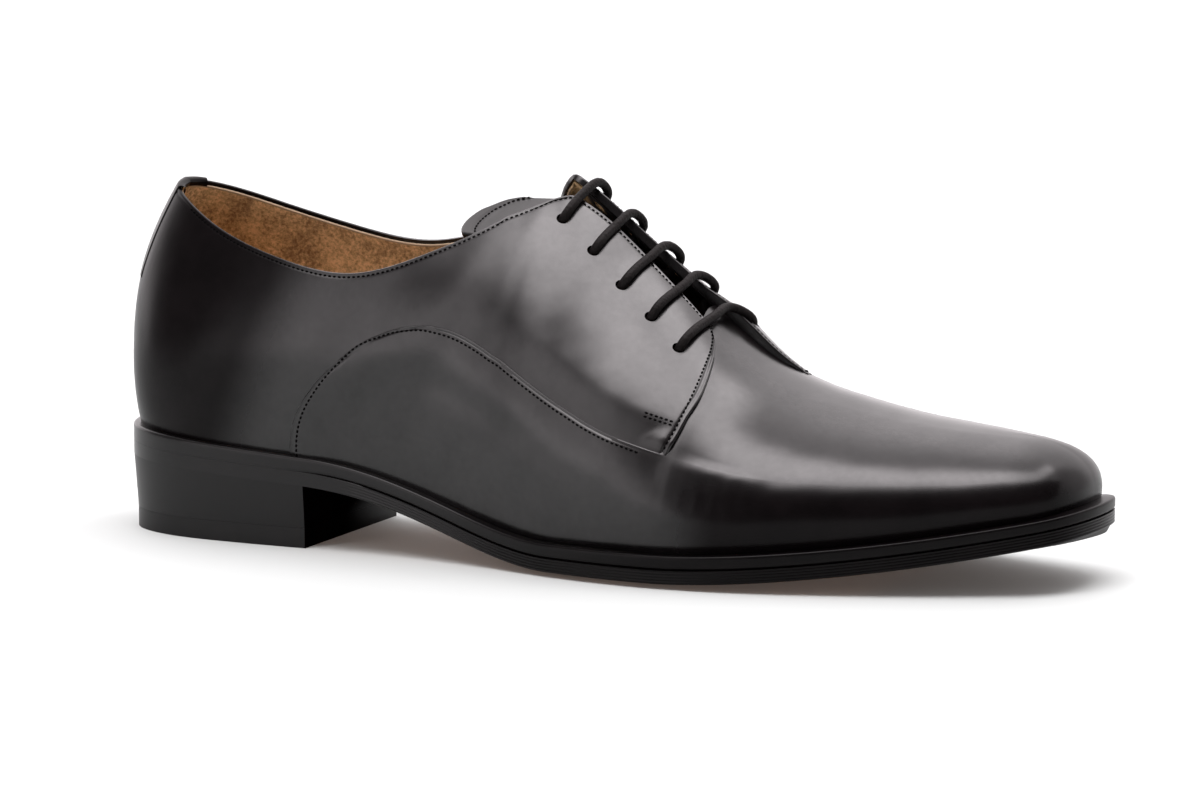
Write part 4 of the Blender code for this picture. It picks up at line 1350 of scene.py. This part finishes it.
bm = bmesh.new()
for side in SIDES:
    for middle, normal in zip(*eyelets[side][:2]):
        turn = Vector(normal).to_track_quat("Z", "Y").to_matrix().to_4x4()
        place = Matrix.Translation(in_part(middle)) @ turn
        bmesh.ops.create_cone(bm, cap_ends=True, segments=28, radius1=EYELET_RADIUS * MM,
                              radius2=EYELET_RADIUS * MM, depth=PUNCH_DEPTH * MM, matrix=place)
punch_mesh = bpy.data.meshes.new("punch")
bm.to_mesh(punch_mesh)
bm.free()
punch = bpy.data.objects.new("punch", punch_mesh)
bpy.context.collection.objects.link(punch)
for item in (quarters, lining):
    cut = item.modifiers.new("eyelets", "BOOLEAN")
    cut.object = punch
    cut.solver = "EXACT"
    with bpy.context.temp_override(object=item, active_object=item, selected_objects=[item]):
        bpy.ops.object.modifier_apply(modifier=cut.name)
    item.data.set_sharp_from_angle(angle=np.radians(SHARP))
bpy.data.objects.remove(punch)
print("eyelets", 2 * EYELET_COUNT, "quarters now", len(quarters.data.polygons), "faces")

# %% [markdown]
# The lace crosses the throat in five bars and climbs inside from row to row. One end stops in the top hole
# of the medial side, the other in the front hole of the lateral side.
# A simulated cord would slip off its place, so the route has its points at every hole and along each bar.

# %% Route of the lace
MOUTH_LIFT = 1.2
MOUTH_TURN = 1.0
LINK_MOUTH = 2.0
LINK_TURN = 1.1
LINK_DEPTH = 2.3
BAR = (
    # share of the way across, height over the leather
    (0.3, 1.65),
    (0.55, 1.7),
    (0.8, 1.9),
)


def over_leather(row, share, height):
    """A point of a bar: a share of the way from the lateral hole to the medial one, over the facing."""
    lateral_place, lateral_reach, medial_place, medial_reach = EYELETS[row]
    place = lateral_place + (medial_place - lateral_place) * share
    reach = -lateral_reach + (medial_reach + lateral_reach) * share
    side = LATERAL if reach < 0.0 else MEDIAL
    spot = share_at_offset(side, place, abs(reach))
    point, normal = skin(side, place, spot)
    return point + normal * (height + FACING_STEP)


def lace_route():
    """Five bars over the facings, joined inside from one row to the next."""
    route = []
    side = MEDIAL
    for row in range(EYELET_COUNT):
        start, start_normal, start_rise = (part[row] for part in eyelets[side])
        end, end_normal, end_rise = (part[row] for part in eyelets[-side])
        over = unit(end - start)
        bar = [over_leather(row, share, height) for share, height in BAR]
        if row:
            route.append(start - start_normal * (WALL + LINK_MOUTH) - along * LINK_TURN)
        route.append(start + start_normal * (start_rise - WALL) / 2.0)
        route.append(start + start_normal * (start_rise + MOUTH_LIFT) + over * MOUTH_TURN)
        route += bar if side == LATERAL else bar[::-1]
        route.append(end + end_normal * (end_rise + MOUTH_LIFT) - over * MOUTH_TURN)
        route.append(end + end_normal * (end_rise - WALL) / 2.0)
        side = -side
        if row + 1 < EYELET_COUNT:
            ahead = eyelets[side][0][row + 1]
            along = unit(ahead - end)
            route.append(end - end_normal * (WALL + LINK_MOUTH) + along * LINK_TURN)
            route.append((end + ahead) / 2.0 - end_normal * (WALL + LINK_DEPTH))
    return route


lace_curve, lace_knots = spline(lace_route())
print("lace", round(float(lace_knots[-1])), "mm long")

# %% [markdown]
# The lace is a round cord of even thickness. A curve with a bevel would do for that,
# but a grid carried along the route gives a closed mesh at once, drawn together at both ends.

# %% Lace
LACE_RADIUS = 1.36
LACE_SIDES = 12
LACE_STEP = 0.55


def tube(line, radius, sides):
    """A grid round a line of points, its end rings drawn together to a point."""
    along = unit(np.gradient(line, axis=0))
    frames = [unit(np.cross(along[0], (0.3, 0.2, 1.0)))]
    for direction in along[1:]:
        frames.append(unit(frames[-1] - direction * np.dot(frames[-1], direction)))
    frames = np.array(frames)
    others = np.cross(along, frames)
    turns = np.linspace(0.0, 2.0 * np.pi, sides + 1)
    turns[-1] = 0.0
    around = frames[:, None] * np.cos(turns)[None, :, None] + others[:, None] * np.sin(turns)[None, :, None]
    first, last = (np.repeat(end[:, None], sides + 1, 1) for end in (line[:1], line[-1:]))
    return np.concatenate([first, line[:, None] + around * radius, last])


lace_line = lace_curve(np.arange(0.0, lace_knots[-1], LACE_STEP))
lace = shell("lace", tube(lace_line, LACE_RADIUS, LACE_SIDES), cord_wax, ["lace"])
print("lace", len(lace.data.polygons), "faces")

# %% [markdown]
# The welt and the outsole's edge are rings: one profile carried round the outline.
# The welt is smooth with a rounded top, and the edge of the outsole is cut with fine ribs.
# A curve could sweep the profile, but its heights change along the shoe, so each step is worked out.

# %% Welt and edge of the outsole
OUTSOLE = 4.2
WELT_UNDERLAP = 0.4
WELT_SEAT = 0.05
RING_STEPS = 170
RIM_WIDTH = 7.0
RIB_COUNT = 4
RIB_DEPTH = 0.14
RIB_TOP = 0.96
RIB_FOOT = 0.16
TOP_INSET = 0.45
WELT_EDGE = np.array((
    # inset, share of the height
    (1.6, 1.0),
    (0.75, 1.0),
    (0.4, 0.985),
    (0.16, 0.94),
    (0.03, 0.86),
    (0.0, 0.75),
    (0.0, 0.5),
    (0.0, 0.3),
    (0.02, 0.2),
    (0.12, 0.13),
    (0.4, 0.06),
    (0.6, 0.0),
))
WELT_TOP_ROWS = 7
OUTSOLE_FOOT = np.array((
    # inset, share of the height
    (0.06, 0.11),
    (0.22, 0.06),
    (0.5, 0.02),
    (0.9, 0.0),
))


def ring(profile):
    """A grid round the outline. The profile gives insets and heights for shares and x."""
    steps = np.linspace(0.0, 1.0, RING_STEPS)
    shares = 0.55 * steps + 0.45 * smooth(steps)
    halves = []
    for side in SIDES:
        x = edge_point(side, shares)[:, 0]
        insets, heights = profile(shares[:, None], x[:, None])
        flat = inset_edge(side, shares[:, None] + 0.0 * insets, insets)
        halves.append(np.concatenate([flat, heights[..., None]], -1))
    return np.concatenate([halves[0], halves[1][-2::-1]])


def welt_profile(shares, x):
    inner = margin(shares) + WALL + WELT_UNDERLAP
    low = sole_edge(x) + OUTSOLE + WELT_SEAT
    forward = smooth((x - 60.0) / 30.0)
    on_top = np.arange(len(WELT_EDGE)) < WELT_TOP_ROWS
    edge = np.where(on_top, WELT_EDGE[:, 0], WELT_EDGE[:, 0] * forward)
    insets = np.concatenate([inner, edge, inner, inner], 1)
    heights = np.concatenate([[1.0], WELT_EDGE[:, 1], [0.0, 1.0]])[None, :]
    return insets, low + (welt_top(x) - low) * heights


def outsole_profile(shares, x):
    up = np.linspace(RIB_TOP, RIB_FOOT, 8 * RIB_COUNT + 1)
    turns = (up - RIB_FOOT) / (RIB_TOP - RIB_FOOT) * RIB_COUNT
    ribs = RIB_DEPTH * (0.5 - 0.5 * np.cos(2.0 * np.pi * turns))
    forward = smooth((x - 78.0) / 25.0)
    inner = RIM_WIDTH + 0.0 * x
    edge = np.concatenate([[TOP_INSET], ribs, OUTSOLE_FOOT[:, 0]]) * forward
    insets = np.concatenate([inner, edge, inner, inner], 1)
    heights = np.concatenate([[1.0, 1.0], up, OUTSOLE_FOOT[:, 1], [0.0, 1.0]])[None, :]
    return insets, sole_edge(x) + OUTSOLE * heights


welt = shell("welt", ring(welt_profile), edge_ink, ["welt"], sharp=50.0)
sole_rim = shell("sole_rim", ring(outsole_profile), edge_ink, ["outsole"], sharp=50.0)
print("rings", len(welt.data.polygons) + len(sole_rim.data.polygons), "faces")

# %% [markdown]
# Plates fill the outline: the tan underside of the sole, the heel, its rubber top piece and the sock.
# Each is a grid across the shoe from edge to edge, extruded between two heights.
# A filled outline would do for a flat plate, but only a grid can follow the arch and the toe's spring.

# %% Underside, heel and sock
SOLE_INSET = 0.9
SOLE_THICK = 3.5
HEEL_INSET = 0.08
HEEL_TAPER = 1.1
HEEL_SEAT = 0.02
TOP_PIECE = 6.0
TOP_PIECE_GAP = 0.05
SOCK_INSET = 0.6
SOCK_LIFT = 1.5


def plate(name, ends, insets, heights, material, slot, nodes):
    """A slab across the outline between two insets and two heights, up to a share of the way to the toe."""
    even = np.linspace(0.0, 1.0, 90)
    close_ends = 0.4 * even + 0.6 * smooth(even)
    faces = []
    for inset, height in zip(insets, heights):
        edges = {}
        for side in SIDES:
            shares = ends[side] * (close_ends if ends[side] == 1.0 else even)
            edges[side] = inset_edge(side, shares, inset(shares))
        t = np.linspace(0.0, 1.0, 25)[None, :, None]
        flat = edges[LATERAL][:, None] * (1.0 - t) + edges[MEDIAL][:, None] * t
        reach = np.abs(2.0 * t[..., 0] - 1.0)
        faces.append(np.concatenate([flat, height(flat[..., 0], reach)[..., None]], -1))
    return slab(name, faces[:1], faces[1:], material, slot, nodes)


def evenly(value):
    """A function that gives the same value at every place."""
    return lambda at, *rest: value + 0.0 * at


def underside(x, reach):
    return sole_flat(x) + (sole_edge(x) - sole_flat(x)) * smooth((reach - 0.5) / 0.5)


whole = {side: 1.0 for side in SIDES}
breast = {side: share_at(side, BREAST_X) for side in SIDES}
sole = plate("sole", whole, [evenly(SOLE_INSET)] * 2,
             [underside, lambda x, reach: underside(x, reach) + SOLE_THICK],
             sole_tan, "sole_leather", ["outsole"])
heel = plate("heel", breast, [evenly(HEEL_INSET), evenly(HEEL_INSET + HEEL_TAPER)],
             [lambda x, reach: sole_flat(x) - HEEL_SEAT, evenly(TOP_PIECE + TOP_PIECE_GAP)],
             heel_ink, "black_edge", ["heel_block"])
tip = plate("heel_tip", breast, [evenly(HEEL_INSET + HEEL_TAPER)] * 2,
            [evenly(TOP_PIECE), evenly(0.0)], rubber, "heel_rubber", ["heel_top_piece"])
sock = plate("sock", whole, [lambda s: margin(s) + WALL + WELT_UNDERLAP + SOCK_INSET] * 2,
             [lambda x, reach: welt_top(x) + SOCK_LIFT, lambda x, reach: sole_edge(x) + OUTSOLE + 0.1],
             sock_tan, "lining_leather", ["insole"])
print("plates", [item.name for item in (sole, heel, tip, sock)])

# %% [markdown]
# Stitches are short waxed dashes along the edges, joined here as one mesh.
# They could be drawn in the bump, but thread that stands up catches the light from every side.
# They lie in the grooves, which are rows of the panels' own grids.

# %% Stitches
PITCH = 1.55
STITCH = (0.56, 0.34, 0.26)
STITCH_LIFT = 0.06
# Place and share at both ends, and how far apart its two rows lie
BAR_TACK = ((1.799, 0.460), (1.935, 0.466))
BAR_TACK_ROWS = (-0.006, 0.006)


def sew(bm, line, normals, pitch=PITCH):
    """Adds stitches along a line of points."""
    run = np.insert(np.cumsum(np.linalg.norm(np.diff(line, axis=0), axis=1)), 0, 0.0)
    spots = np.arange(pitch / 2.0, run[-1], pitch)
    at = np.stack([np.interp(spots, run, line[:, k]) for k in range(3)], -1)
    out = unit(np.stack([np.interp(spots, run, normals[:, k]) for k in range(3)], -1))
    ahead = np.stack([np.interp(spots + 0.2, run, line[:, k]) for k in range(3)], -1)
    back = np.stack([np.interp(spots - 0.2, run, line[:, k]) for k in range(3)], -1)
    along = unit(ahead - back)
    for spot, normal, direction in zip(at, out, along):
        aside = unit(np.cross(normal, direction))
        turn = Matrix(np.column_stack([direction, aside, np.cross(direction, aside)]).tolist()).to_4x4()
        seat = Matrix.Translation(in_part(spot + normal * STITCH_LIFT))
        place = seat @ turn @ Matrix.Diagonal((*STITCH, 1.0))
        bmesh.ops.create_uvsphere(bm, u_segments=6, v_segments=4, radius=MM, matrix=place)
    return len(spots)


def bar_tack():
    """Two short rows that hold the foot of the facing."""
    t = np.linspace(0.0, 1.0, 12)
    lines = []
    for lift in BAR_TACK_ROWS:
        place = BAR_TACK[0][0] + (BAR_TACK[1][0] - BAR_TACK[0][0]) * t
        share = BAR_TACK[0][1] + (BAR_TACK[1][1] - BAR_TACK[0][1]) * t + lift
        points, normals = skin(LATERAL, place, share)
        lines.append((offset(points, normals, facing_rise(place, share) + uneven(points)), normals))
    return lines


bm = bmesh.new()
count = 0
for side in SIDES:
    part = quarter_parts[side]
    front = -1 - FRONT_ROW
    count += sew(bm, part["outer"][8:front, TOP_ROW], part["normal"][8:front, TOP_ROW])
    count += sew(bm, part["outer"][front, TOP_ROW:-5], part["normal"][front, TOP_ROW:-5])
    wing = wing_parts[side]
    count += sew(bm, wing["outer"][WING_ROW:, WING_ROW], wing["normal"][WING_ROW:, WING_ROW])
    count += sew(bm, wing["outer"][WING_ROW, WING_ROW:], wing["normal"][WING_ROW, WING_ROW:])
for line, normals in bar_tack():
    count += sew(bm, line, normals)
count += sew(bm, tongue_face[-1 - TONGUE_ROW, 6:-11], tongue_normals[-1 - TONGUE_ROW, 6:-11])
stitches = keep(bm, "stitches", thread_wax, ["upper"])
print("stitches", count)

# %% [markdown]
# The shoe stands on a plain pale floor that reaches past the picture, and a faint warm painted glow in it
# lightens the shadows under the shoe.
# A curved backdrop could be used, but nothing above the floor's far end shows.

# %% Floor and finish
FLOOR_TINT = (0.50, 0.535, 0.53)
# Painted light: a faint warm glow that lightens and warms the shade under the shoe
FLOOR_PAINTED_GLOW = (0.052, 0.043, 0.039)
FLOOR_REACH = 12.0

floor_finish = Finish("pale_floor", base_color=FLOOR_TINT, roughness=0.8, emission_color=FLOOR_PAINTED_GLOW,
                      emission_strength=1.0)
bm = bmesh.new()
bmesh.ops.create_grid(bm, x_segments=1, y_segments=1, size=FLOOR_REACH)
floor_mesh = bpy.data.meshes.new("floor")
bm.to_mesh(floor_mesh)
bm.free()
floor_mesh.materials.append(floor_finish.material)
floor = bpy.data.objects.new("floor", floor_mesh)
bpy.context.collection.objects.link(floor)
